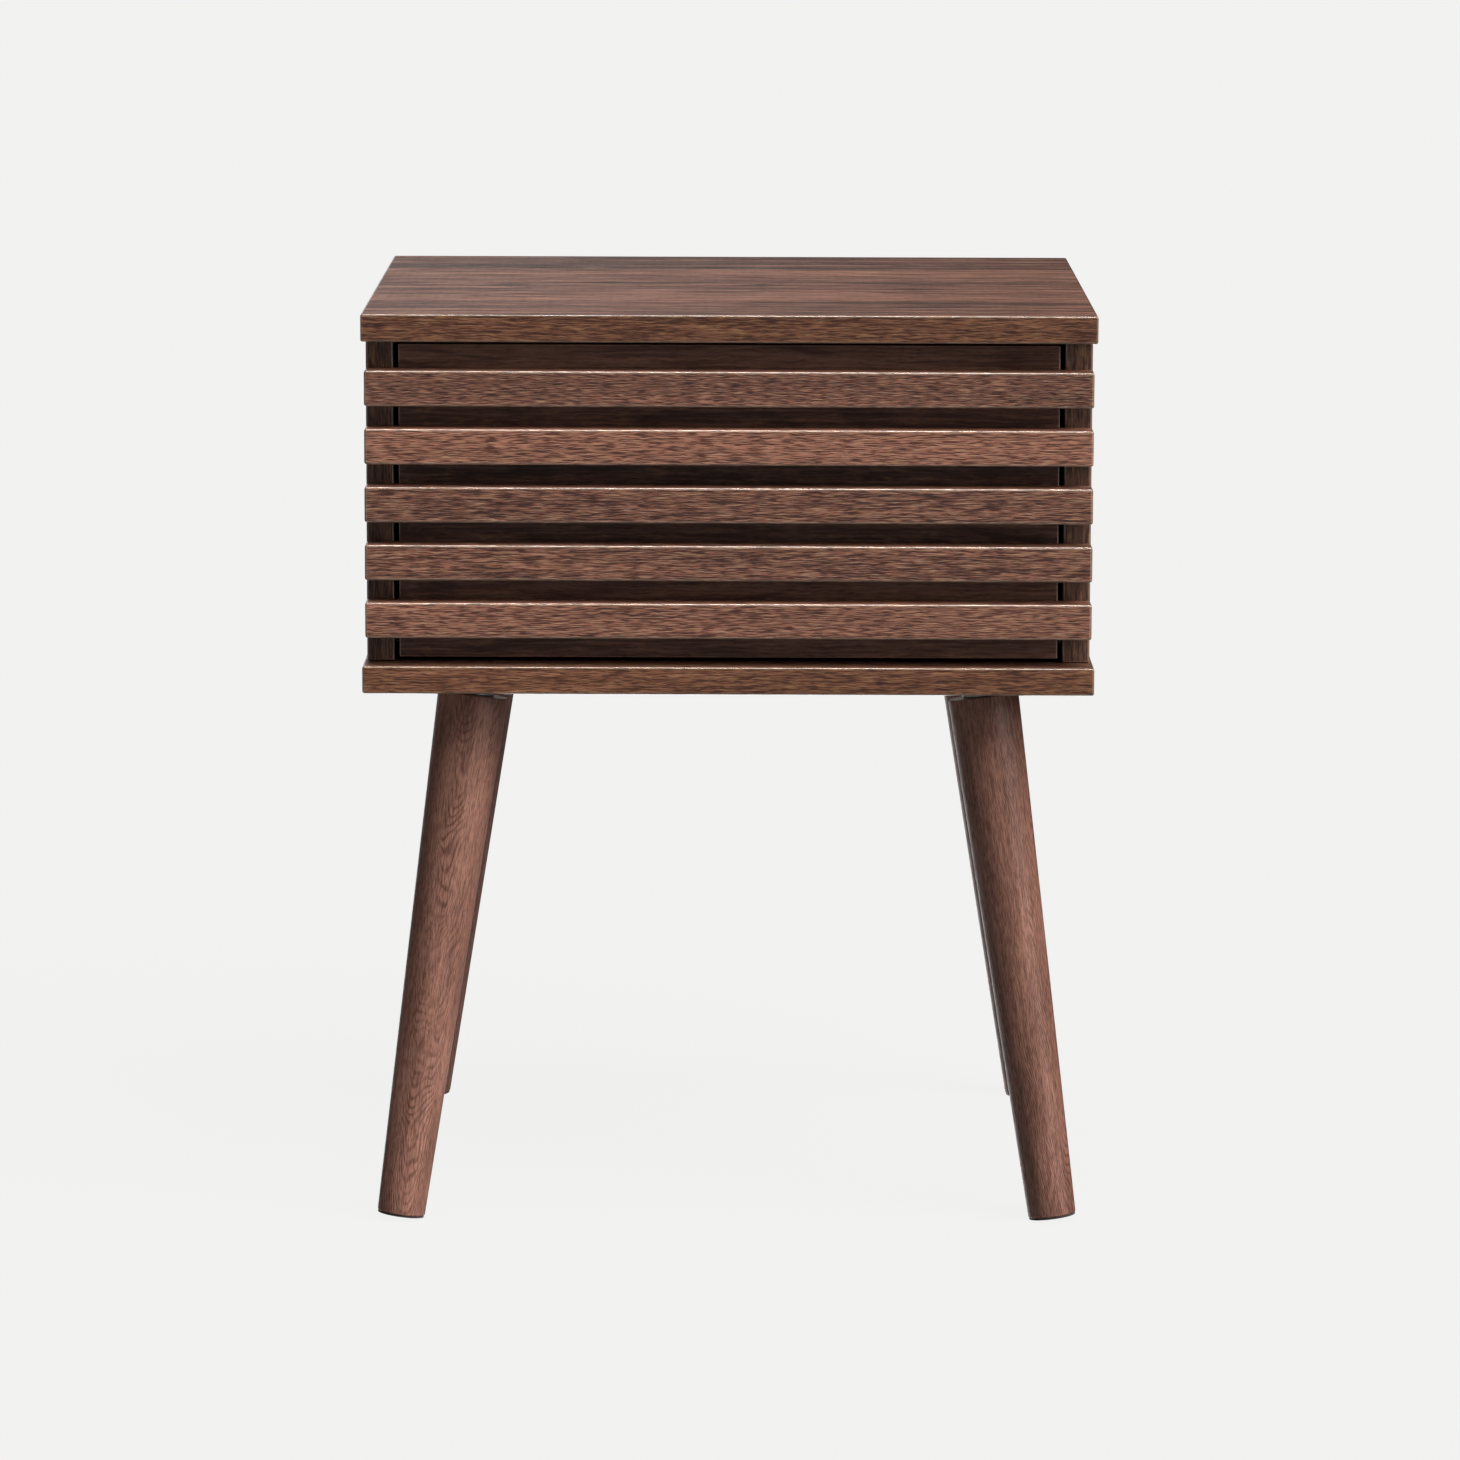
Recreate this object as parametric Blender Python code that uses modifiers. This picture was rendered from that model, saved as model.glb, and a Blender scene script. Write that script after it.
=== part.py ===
"""Side table with one slatted drawer on four splayed, turned legs.

Metres, +Z up. The front faces -Y, and the origin is on the floor below the middle of the table.
The drawer is shut. It runs on bottom-mounted roller slides.
"""

from math import atan, cos, hypot, radians, sin, sqrt, tan

import bmesh
import bpy
from mathutils import Vector

# Overall
TABLE_WIDTH = 0.450
TABLE_DEPTH = 0.400
TABLE_HEIGHT = 0.568
TOUCH_GAP = 0.0003  # left between pieces that touch
CUT_MARGIN = 0.001  # how far a cutter runs past the face it opens
MERGE_DISTANCE = 0.00001

# Steps round the turned pieces
LEG_STEPS = 32
ROLLER_STEPS = 20
PIN_STEPS = 16
SCREW_STEPS = 12

# Cabinet
BOARD_THICKNESS = 0.017
BOARD_ROUNDING = 0.0012
INNER_HEIGHT = 0.200
SIDE_REVEAL = 0.002  # top and bottom boards stand out past the sides
BACK_PANEL_THICKNESS = 0.003
BACK_PANEL_INSET = 0.006  # from the side panels' rear edges
GROOVE_DEPTH = 0.006

# Drawer front
SLAT_COUNT = 5
SLAT_HEIGHT = 0.022
SLAT_DEPTH = 0.020
SLAT_MARGIN = 0.0175  # open strip above the first slat and below the last
SLAT_ROUNDING = 0.0015
SLAT_CLEARANCE = 0.002  # from the slats' backs to the side panels' front edges
FRONT_PANEL_THICKNESS = 0.015
FRONT_PANEL_CLEARANCE = 0.003

# Drawer box
DRAWER_WALL = 0.012
DRAWER_ROUNDING = 0.0008
DRAWER_HEADROOM = 0.0315
DRAWER_REAR_CLEARANCE = 0.0034
DRAWER_BOTTOM_THICKNESS = 0.004
DRAWER_BOTTOM_LIFT = 0.008  # from the drawer sides' lower edges
DRAWER_GROOVE_DEPTH = 0.006

# Roller slides
RAIL_SPACE = 0.0125  # between a side panel and a drawer side
RAIL_LIFT = 0.010  # under the cabinet rails
RAIL_END_CLEARANCE = 0.002
RAIL_OVERLAP = 0.090  # length of drawer still in the cabinet when it is open
SHEET = 0.0012
CHANNEL_SIDE_CLEARANCE = 0.002  # between the channel's flanges and the drawer rail's web
ROLLER_RADIUS = 0.009
ROLLER_CHAMFER = 0.0006
ROLLER_END_MARGIN = 0.002  # from a rail's end to its roller's rim
ROLLER_PLAY = 0.0007  # over the rear roller, in the channel
FLANGE_CLEARANCE = 0.001  # between the channel and the drawer rail's flange
FLANGE_SIDE_CLEARANCE = 0.0015  # between that flange and the cabinet rail's web
LIP_WIDTH = 0.0105  # of the drawer rail, under the drawer side
LIP_LIFT = 0.002  # top of the lip over the channel's floor
PIN_RADIUS = 0.0025
PIN_HEAD_RADIUS = 0.0042
PIN_SHOULDER_RADIUS = 0.0036
PIN_HEAD_THICKNESS = 0.0009
PIN_HEAD_TAPER = 0.0008
PIN_HEAD_CLEARANCE = 0.00085  # between a pin's head and the web across from it
STOP_HEIGHT = 0.0045
STOP_THICKNESS = 0.002
STOP_CLEARANCE = 0.0005

# Legs, each measured along its own axis from its top
LEG_INSET_X = 0.0664  # from the table's end to the centre of a leg's top
LEG_INSET_Y = 0.048  # from its front or back
LEG_SPLAY_SIDE = radians(7.9)
LEG_SPLAY_FRONT = radians(5.35)
LEG_TOP_RADIUS = 0.022
LEG_FOOT_RADIUS = 0.0149
LEG_ROUNDING = 0.0008
LEG_PLATE_CLEARANCE = 0.0006  # over the highest point of a leg's rim
PAD_INSET = 0.0004
PAD_THICKNESS = 0.0008
PAD_FLAT = 0.0004  # how far the floor has pressed into the pad's lowest edge
BOLT_RADIUS = 0.004
BOLT_DEPTH = 0.034
BOLT_POINT = 0.006

# Mounting plates
PLATE_SIZE = 0.060
PLATE_THICKNESS = 0.0025
PLATE_CORNER = 0.006
BOSS_RADIUS = 0.013
SCREW_EDGE_DISTANCE = 0.007  # from the plate's edges to the screws' axes
SCREW_RADIUS = 0.00175
SCREW_HEAD_RADIUS = 0.0036
SCREW_HEAD_HEIGHT = 0.0019
SCREW_LENGTH = 0.0125

SIDES = {"left": -1, "right": 1}
ENDS = {"front": -1, "back": 1}

# Levels and faces that the pieces share
CEILING_Z = TABLE_HEIGHT - BOARD_THICKNESS
FLOOR_Z = CEILING_Z - INNER_HEIGHT
UNDERSIDE_Z = FLOOR_Z - BOARD_THICKNESS
FRONT_Y = -TABLE_DEPTH / 2
BACK_Y = TABLE_DEPTH / 2
SIDE_OUTER_X = TABLE_WIDTH / 2 - SIDE_REVEAL
SIDE_INNER_X = SIDE_OUTER_X - BOARD_THICKNESS
SIDE_FRONT_Y = FRONT_Y + SLAT_DEPTH + SLAT_CLEARANCE
SIDE_BACK_Y = BACK_Y - SIDE_REVEAL
BACK_PANEL_Y = SIDE_BACK_Y - BACK_PANEL_INSET - BACK_PANEL_THICKNESS

FRONT_PANEL_X = SIDE_INNER_X - FRONT_PANEL_CLEARANCE
FRONT_PANEL_Y = FRONT_Y + SLAT_DEPTH + TOUCH_GAP
FRONT_PANEL_BACK_Y = FRONT_PANEL_Y + FRONT_PANEL_THICKNESS
DRAWER_OUTER_X = SIDE_INNER_X - RAIL_SPACE
DRAWER_INNER_X = DRAWER_OUTER_X - DRAWER_WALL
DRAWER_FRONT_Y = FRONT_PANEL_BACK_Y + TOUCH_GAP
DRAWER_BACK_Y = BACK_PANEL_Y - DRAWER_REAR_CLEARANCE

CHANNEL_FLOOR_Z = FLOOR_Z + RAIL_LIFT + SHEET
CHANNEL_CEILING_Z = CHANNEL_FLOOR_Z + TOUCH_GAP + 2 * ROLLER_RADIUS + ROLLER_PLAY
FLANGE_Z = CHANNEL_CEILING_Z + SHEET + FLANGE_CLEARANCE
REAR_ROLLER_Z = CHANNEL_FLOOR_Z + TOUCH_GAP + ROLLER_RADIUS
FRONT_ROLLER_Z = FLANGE_Z - TOUCH_GAP - ROLLER_RADIUS
WEB_FACE = TOUCH_GAP + SHEET  # from a panel's face to the open face of the web fixed to it
CHANNEL_WIDTH = RAIL_SPACE - WEB_FACE - CHANNEL_SIDE_CLEARANCE
ROLLER_WIDTH = RAIL_SPACE - 2 * (WEB_FACE + TOUCH_GAP + PIN_HEAD_THICKNESS + PIN_HEAD_CLEARANCE)
CABINET_RAIL_Y = (FRONT_PANEL_BACK_Y + RAIL_END_CLEARANCE, BACK_PANEL_Y - RAIL_END_CLEARANCE)
DRAWER_RAIL_Y = (DRAWER_FRONT_Y + RAIL_END_CLEARANCE, DRAWER_BACK_Y)
FRONT_ROLLER_Y = CABINET_RAIL_Y[0] + ROLLER_END_MARGIN + ROLLER_RADIUS
REAR_ROLLER_Y = DRAWER_RAIL_Y[1] - ROLLER_END_MARGIN - ROLLER_RADIUS
DRAWER_TRAVEL = DRAWER_BACK_Y - DRAWER_FRONT_Y - RAIL_OVERLAP

DRAWER_SIDE_Z = (CHANNEL_FLOOR_Z + LIP_LIFT + TOUCH_GAP, CEILING_Z - DRAWER_HEADROOM)
DRAWER_BOTTOM_Z = DRAWER_SIDE_Z[0] + DRAWER_BOTTOM_LIFT

LEG_TILT = atan(hypot(tan(LEG_SPLAY_SIDE), tan(LEG_SPLAY_FRONT)))
LEG_RIM_RISE = LEG_TOP_RADIUS * sin(LEG_TILT)
LEG_TOP_DROP = TOUCH_GAP + PLATE_THICKNESS + LEG_PLATE_CLEARANCE + LEG_RIM_RISE
LEG_TOP_Z = UNDERSIDE_Z - LEG_TOP_DROP
PAD_RADIUS = LEG_FOOT_RADIUS - PAD_INSET
PAD_CENTRE_Z = PAD_RADIUS * sin(LEG_TILT) - PAD_FLAT
PAD_END = (LEG_TOP_Z - PAD_CENTRE_Z) / cos(LEG_TILT)
LEG_LENGTH = PAD_END - PAD_THICKNESS - TOUCH_GAP
PLATE_TOP_Z = UNDERSIDE_Z - TOUCH_GAP
PLATE_BOTTOM_Z = PLATE_TOP_Z - PLATE_THICKNESS

for left_over in list(bpy.data.objects):
    bpy.data.objects.remove(left_over, do_unlink=True)

parts = bpy.data.collections.new("Side table")
cutters = bpy.data.collections.new("Cutters")
for collection in (parts, cutters):
    bpy.context.scene.collection.children.link(collection)


def make_material(name, color, roughness, metallic=0.0):
    material = bpy.data.materials.new(name)
    material.use_nodes = True
    shader = material.node_tree.nodes["Principled BSDF"]
    shader.inputs["Base Color"].default_value = (*color, 1.0)
    shader.inputs["Roughness"].default_value = roughness
    shader.inputs["Metallic"].default_value = metallic
    material.diffuse_color = (*color, 1.0)
    return material


WALNUT_BOARD = make_material("Walnut board", (0.150, 0.072, 0.046), 0.38)
WALNUT_SLAT = make_material("Walnut slat", (0.170, 0.082, 0.054), 0.45)
WALNUT_LEG = make_material("Walnut leg", (0.160, 0.083, 0.060), 0.40)
BIRCH_PLY = make_material("Birch plywood", (0.560, 0.400, 0.240), 0.60)
HARDBOARD = make_material("Hardboard", (0.140, 0.085, 0.050), 0.70)
ZINC_STEEL = make_material("Zinc-plated steel", (0.620, 0.620, 0.600), 0.35, 1.0)
RAIL_STEEL = make_material("Coated rail steel", (0.680, 0.670, 0.640), 0.40, 0.2)
NYLON = make_material("Roller nylon", (0.780, 0.770, 0.730), 0.45)
PAD_FELT = make_material("Pad felt", (0.020, 0.016, 0.014), 0.95)


def add_object(name, mesh, material, parent, collection=parts):
    piece = bpy.data.objects.new(name, mesh)
    collection.objects.link(piece)
    piece.parent = parent
    if material and not mesh.materials:
        mesh.materials.append(material)
    if collection is cutters:
        piece.hide_render = True
        piece.display_type = "WIRE"
    return piece


def add_empty(name, location, axis=(0, 0, 1), parent=None):
    """An empty whose own Z points along axis."""
    empty = bpy.data.objects.new(name, None)
    parts.objects.link(empty)
    empty.empty_display_size = 0.02
    empty.location = location
    empty.rotation_euler = Vector((0, 0, 1)).rotation_difference(Vector(axis)).to_euler()
    empty.parent = parent
    return empty


table = add_empty("side_table_origin", (0, 0, 0))
drawer = add_empty("drawer_origin", (0, FRONT_Y, (FLOOR_Z + CEILING_Z) / 2), parent=table)


def add_box(name, low, high, material=None, rounding=0.0, parent=table, collection=parts):
    """A box between two corners in world space, under an empty that isn't turned."""
    low, high = Vector(low), Vector(high)
    mesh = bpy.data.meshes.new(name)
    shape = bmesh.new()
    bmesh.ops.create_cube(shape, size=1.0)
    bmesh.ops.scale(shape, vec=high - low, verts=shape.verts)
    shape.to_mesh(mesh)
    shape.free()
    piece = add_object(name, mesh, material, parent, collection)
    piece.location = (low + high) / 2 - parent.location
    if rounding:
        bevel = piece.modifiers.new("Rounded edges", "BEVEL")
        bevel.width = rounding
        bevel.segments = 2
    return piece


def add_mirrored_box(name, side, x_range, y_range, z_range, **options):
    """A box whose x_range is measured from the middle towards one side."""
    near, far = sorted(SIDES[side] * x for x in x_range)
    low, high = zip((near, far), y_range, z_range)
    return add_box(name, low, high, **options)


def turned_mesh(name, profile, closed=False):
    """The (radius, height) profile of a turned piece, listed down its outer side."""
    mesh = bpy.data.meshes.new(name)
    points = [(radius, 0.0, height) for radius, height in profile]
    edges = [(index, index + 1) for index in range(len(points) - 1)]
    if closed:
        edges.append((len(points) - 1, 0))
    mesh.from_pydata(points, edges, [])
    return mesh


def add_turned(name, mesh, steps, material=None, parent=table, collection=parts):
    piece = add_object(name, mesh, material, parent, collection)
    turn = piece.modifiers.new("Turned", "SCREW")
    turn.steps = turn.render_steps = steps
    turn.use_merge_vertices = True
    turn.merge_threshold = MERGE_DISTANCE
    turn.use_smooth_shade = True
    return piece


def add_round_cutter(name, radius, low, high, parent):
    profile = [(0.0, high), (radius, high), (radius, low), (0.0, low)]
    return add_turned(name, turned_mesh(name, profile), PIN_STEPS, parent=parent, collection=cutters)


def add_box_cutter(name, low, high, parent=table):
    return add_box(name, low, high, parent=parent, collection=cutters)


def combine(piece, other, operation="DIFFERENCE"):
    boolean = piece.modifiers.new(f"{operation.title()} {other.name}", "BOOLEAN")
    boolean.operation = operation
    boolean.object = other


def make_cabinet():
    half_width = TABLE_WIDTH / 2
    boards = {"top_panel": (CEILING_Z, TABLE_HEIGHT), "bottom_panel": (UNDERSIDE_Z, FLOOR_Z)}
    panels = {}
    for name, (low_z, high_z) in boards.items():
        low, high = (-half_width, FRONT_Y, low_z), (half_width, BACK_Y, high_z)
        panels[name] = add_box(name, low, high, WALNUT_BOARD, BOARD_ROUNDING)
    for side in SIDES:
        name = f"side_panel_{side}"
        panels[name] = add_mirrored_box(
            name,
            side,
            (SIDE_INNER_X, SIDE_OUTER_X),
            (SIDE_FRONT_Y, SIDE_BACK_Y),
            (FLOOR_Z + TOUCH_GAP, CEILING_Z - TOUCH_GAP),
            material=WALNUT_BOARD,
            rounding=BOARD_ROUNDING,
        )

    reach_x = SIDE_INNER_X + GROOVE_DEPTH
    low_z, high_z = FLOOR_Z - GROOVE_DEPTH, CEILING_Z + GROOVE_DEPTH
    back_y = BACK_PANEL_Y + BACK_PANEL_THICKNESS
    add_box(
        "back_panel",
        (TOUCH_GAP - reach_x, BACK_PANEL_Y, low_z + TOUCH_GAP),
        (reach_x - TOUCH_GAP, back_y, high_z - TOUCH_GAP),
        HARDBOARD,
    )
    groove = add_box_cutter(
        "back_panel_groove",
        (-reach_x, BACK_PANEL_Y - TOUCH_GAP, low_z),
        (reach_x, back_y + TOUCH_GAP, high_z),
    )
    for panel in panels.values():
        combine(panel, groove)
    return panels


def make_drawer_front():
    opening = FRONT_PANEL_CLEARANCE
    panel = add_box(
        "drawer_front_panel",
        (-FRONT_PANEL_X, FRONT_PANEL_Y, FLOOR_Z + opening),
        (FRONT_PANEL_X, FRONT_PANEL_BACK_Y, CEILING_Z - opening),
        WALNUT_BOARD,
        DRAWER_ROUNDING,
        drawer,
    )
    gap = (INNER_HEIGHT - 2 * SLAT_MARGIN - SLAT_COUNT * SLAT_HEIGHT) / (SLAT_COUNT - 1)
    for index in range(SLAT_COUNT):
        top_z = CEILING_Z - SLAT_MARGIN - index * (SLAT_HEIGHT + gap)
        add_box(
            f"drawer_slat_{index + 1}",
            (-SIDE_OUTER_X, FRONT_Y, top_z - SLAT_HEIGHT),
            (SIDE_OUTER_X, FRONT_Y + SLAT_DEPTH, top_z),
            WALNUT_SLAT,
            SLAT_ROUNDING,
            drawer,
        )
    return panel


def make_drawer_box(front_panel):
    box_options = {"material": BIRCH_PLY, "rounding": DRAWER_ROUNDING, "parent": drawer}
    grooved = [front_panel]
    for side in SIDES:
        side_x, side_y = (DRAWER_INNER_X, DRAWER_OUTER_X), (DRAWER_FRONT_Y, DRAWER_BACK_Y)
        name = f"drawer_side_{side}"
        grooved.append(add_mirrored_box(name, side, side_x, side_y, DRAWER_SIDE_Z, **box_options))
    back_x = DRAWER_INNER_X - TOUCH_GAP
    back_front_y = DRAWER_BACK_Y - DRAWER_WALL
    low, high = (-back_x, back_front_y, DRAWER_SIDE_Z[0]), (back_x, DRAWER_BACK_Y, DRAWER_SIDE_Z[1])
    grooved.append(add_box("drawer_back", low, high, **box_options))

    depth = DRAWER_GROOVE_DEPTH
    low = Vector((-DRAWER_INNER_X - depth, FRONT_PANEL_BACK_Y - depth, DRAWER_BOTTOM_Z))
    high = Vector((DRAWER_INNER_X + depth, back_front_y + depth, DRAWER_BOTTOM_Z))
    high.z += DRAWER_BOTTOM_THICKNESS
    inset = Vector((TOUCH_GAP, TOUCH_GAP, 0))
    add_box("drawer_bottom", low + inset, high - inset, BIRCH_PLY, parent=drawer)
    rise = Vector((0, 0, TOUCH_GAP))
    groove = add_box_cutter("drawer_bottom_groove", low - rise, high + rise, drawer)
    for piece in grooved:
        combine(piece, groove)


def add_sheet_rail(name, side, profile, y_range, parent):
    """Folded sheet steel, from a profile of (distance from the side panel, z) points on its middle."""
    shape = bmesh.new()
    points = [(SIDES[side] * (SIDE_INNER_X - inward), y_range[0], z) for inward, z in profile]
    corners = [shape.verts.new(Vector(point) - parent.location) for point in points]
    edges = [shape.edges.new(pair) for pair in zip(corners, corners[1:])]
    swept = bmesh.ops.extrude_edge_only(shape, edges=edges)
    moved = [item for item in swept["geom"] if isinstance(item, bmesh.types.BMVert)]
    bmesh.ops.translate(shape, vec=(0, y_range[1] - y_range[0], 0), verts=moved)
    mesh = bpy.data.meshes.new(name)
    shape.to_mesh(mesh)
    shape.free()
    rail = add_object(name, mesh, RAIL_STEEL, parent)
    wall = rail.modifiers.new("Sheet", "SOLIDIFY")
    wall.thickness = SHEET
    wall.offset = 0.0
    wall.use_even_offset = True
    return rail


def make_cabinet_rail(side):
    name = f"cabinet_rail_{side}"
    web, edge = WEB_FACE - SHEET / 2, CHANNEL_WIDTH
    low_z, high_z = CHANNEL_FLOOR_Z - SHEET / 2, CHANNEL_CEILING_Z + SHEET / 2
    profile = [(edge, high_z), (web, high_z), (web, low_z), (edge, low_z)]
    rail = add_sheet_rail(name, side, profile, CABINET_RAIL_Y, table)

    front_y = CABINET_RAIL_Y[0]
    relief = add_mirrored_box(
        f"{name}_roller_relief",
        side,
        (SIDE_INNER_X - CHANNEL_WIDTH - CUT_MARGIN, SIDE_INNER_X + CUT_MARGIN),
        (front_y - CUT_MARGIN, FRONT_ROLLER_Y + ROLLER_RADIUS + CUT_MARGIN),
        (CHANNEL_CEILING_Z - CUT_MARGIN / 2, high_z + CUT_MARGIN),
        collection=cutters,
    )
    combine(rail, relief)

    # The open drawer's rear roller meets the lug where the lug's top edge is level with its rim.
    rise = STOP_HEIGHT - TOUCH_GAP
    reach = sqrt(ROLLER_RADIUS**2 - (ROLLER_RADIUS - rise) ** 2)
    lug_back_y = REAR_ROLLER_Y - DRAWER_TRAVEL - reach - STOP_CLEARANCE
    lug = add_mirrored_box(
        f"{name}_stop_lug",
        side,
        (SIDE_INNER_X - CHANNEL_WIDTH + STOP_THICKNESS, SIDE_INNER_X - web),
        (lug_back_y - STOP_THICKNESS, lug_back_y),
        (low_z, CHANNEL_FLOOR_Z + STOP_HEIGHT),
        collection=cutters,
    )
    combine(rail, lug, "UNION")
    return rail


def make_drawer_rail(side):
    web, edge = RAIL_SPACE - WEB_FACE + SHEET / 2, WEB_FACE + FLANGE_SIDE_CLEARANCE
    lip_z, flange_z = CHANNEL_FLOOR_Z + LIP_LIFT - SHEET / 2, FLANGE_Z + SHEET / 2
    profile = [(web + LIP_WIDTH, lip_z), (web, lip_z), (web, flange_z), (edge, flange_z)]
    return add_sheet_rail(f"drawer_rail_{side}", side, profile, DRAWER_RAIL_Y, drawer)


def make_roller_meshes():
    """One roller and one shoulder pin, centred on the roller's middle with the web on the +Z side."""
    half = ROLLER_WIDTH / 2
    bore = PIN_RADIUS + TOUCH_GAP
    shoulder = ROLLER_RADIUS - ROLLER_CHAMFER
    roller = [(bore, half), (shoulder, half), (ROLLER_RADIUS, half - ROLLER_CHAMFER)]
    roller += [(radius, -height) for radius, height in reversed(roller)]

    web = RAIL_SPACE / 2 - WEB_FACE
    head = half + TOUCH_GAP
    pin = [
        (0.0, web + SHEET - TOUCH_GAP),
        (PIN_RADIUS, web + SHEET - TOUCH_GAP),
        (PIN_RADIUS, web - TOUCH_GAP),
        (PIN_SHOULDER_RADIUS, web - TOUCH_GAP),
        (PIN_SHOULDER_RADIUS, head),
        (PIN_RADIUS, head),
        (PIN_RADIUS, -head),
        (PIN_HEAD_RADIUS, -head),
        (PIN_HEAD_RADIUS - PIN_HEAD_TAPER, -head - PIN_HEAD_THICKNESS),
        (0.0, -head - PIN_HEAD_THICKNESS),
    ]
    return turned_mesh("roller", roller, closed=True), turned_mesh("roller_pin", pin)


def make_roller(end, side, rail, meshes):
    """A roller on its pin: the front one on the cabinet rail, the rear one on the drawer rail."""
    if end == "front":
        parent, y, z, towards_web = table, FRONT_ROLLER_Y, FRONT_ROLLER_Z, SIDES[side]
    else:
        parent, y, z, towards_web = drawer, REAR_ROLLER_Y, REAR_ROLLER_Z, -SIDES[side]
    location = Vector((SIDES[side] * (SIDE_INNER_X - RAIL_SPACE / 2), y, z)) - parent.location
    axis = add_empty(f"{end}_roller_axis_{side}", location, (towards_web, 0, 0), parent)
    roller_mesh, pin_mesh = meshes
    add_turned(f"{end}_roller_{side}", roller_mesh, ROLLER_STEPS, NYLON, axis)
    add_turned(f"{end}_roller_pin_{side}", pin_mesh, PIN_STEPS, ZINC_STEEL, axis)
    web = RAIL_SPACE / 2 - WEB_FACE
    low, high = web - CUT_MARGIN, web + SHEET + CUT_MARGIN
    combine(rail, add_round_cutter(f"{end}_roller_pin_hole_{side}", PIN_RADIUS + TOUCH_GAP, low, high, axis))


def make_leg_meshes():
    """A leg, its hanger bolt and its foot pad, on one axis with the leg's top at height 0."""
    hole = BOLT_RADIUS + TOUCH_GAP
    hole_end = -BOLT_DEPTH - TOUCH_GAP
    leg = [
        (0.0, hole_end),
        (hole, hole_end),
        (hole, 0.0),
        (LEG_TOP_RADIUS - LEG_ROUNDING, 0.0),
        (LEG_TOP_RADIUS, -LEG_ROUNDING),
        (LEG_FOOT_RADIUS, LEG_ROUNDING - LEG_LENGTH),
        (LEG_FOOT_RADIUS - LEG_ROUNDING, -LEG_LENGTH),
        (0.0, -LEG_LENGTH),
    ]
    bolt_top = (LEG_TOP_DROP - TOUCH_GAP) / cos(LEG_TILT) - BOLT_RADIUS * tan(LEG_TILT)
    bolt = [
        (0.0, bolt_top),
        (BOLT_RADIUS - TOUCH_GAP, bolt_top),
        (BOLT_RADIUS, bolt_top - TOUCH_GAP),
        (BOLT_RADIUS, BOLT_POINT - BOLT_DEPTH),
        (0.0, -BOLT_DEPTH),
    ]
    pad_top = -LEG_LENGTH - TOUCH_GAP
    pad = [(0.0, pad_top), (PAD_RADIUS, pad_top), (PAD_RADIUS, -PAD_END), (0.0, -PAD_END)]
    return turned_mesh("leg", leg), turned_mesh("hanger_bolt", bolt), turned_mesh("foot_pad", pad)


def screw_profile(clearance=0.0, below=0.0):
    """A countersunk screw pointing up, its head's face at height 0, grown by a clearance for its hole."""
    shank = SCREW_RADIUS + clearance
    head = SCREW_HEAD_RADIUS + clearance
    tip = SCREW_LENGTH + clearance
    profile = [(0.0, tip), (shank, tip - SCREW_RADIUS), (shank, SCREW_HEAD_HEIGHT), (head, 0.0)]
    if below:
        profile.append((head, -below))
    return [*profile, (0.0, -below)]


def make_plate(name, axis):
    """A steel plate under the bottom panel, with a boss that is square to the leg."""
    upward = axis.matrix_basis.col[2].xyz
    centre = axis.location + upward * (PLATE_TOP_Z - axis.location.z) / upward.z
    half = Vector((PLATE_SIZE / 2, PLATE_SIZE / 2, 0))
    low = Vector((centre.x, centre.y, PLATE_BOTTOM_Z)) - half
    high = Vector((centre.x, centre.y, PLATE_TOP_Z)) + half
    plate = add_box(name, low, high, ZINC_STEEL)
    shape = bmesh.new()
    shape.from_mesh(plate.data)
    upright = [edge for edge in shape.edges if edge.calc_length() < 2 * PLATE_THICKNESS]
    bmesh.ops.bevel(shape, geom=upright, offset=PLATE_CORNER, segments=4, profile=0.5, affect="EDGES")
    shape.to_mesh(plate.data)
    shape.free()

    # The boss ends inside the plate, level with its middle.
    boss = add_round_cutter(f"{name}_boss", BOSS_RADIUS, TOUCH_GAP, LEG_TOP_DROP + BOSS_RADIUS, axis)
    trim_low = (low.x - CUT_MARGIN, low.y - CUT_MARGIN, (PLATE_BOTTOM_Z + PLATE_TOP_Z) / 2)
    trim_high = (high.x + CUT_MARGIN, high.y + CUT_MARGIN, UNDERSIDE_Z + 2 * BOSS_RADIUS)
    combine(boss, add_box_cutter(f"{name}_boss_trim", trim_low, trim_high))
    combine(plate, boss, "UNION")
    bore = BOLT_RADIUS + TOUCH_GAP
    combine(plate, add_round_cutter(f"{name}_bolt_hole", bore, -CUT_MARGIN, 2 * LEG_TOP_DROP, axis))
    return plate


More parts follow.
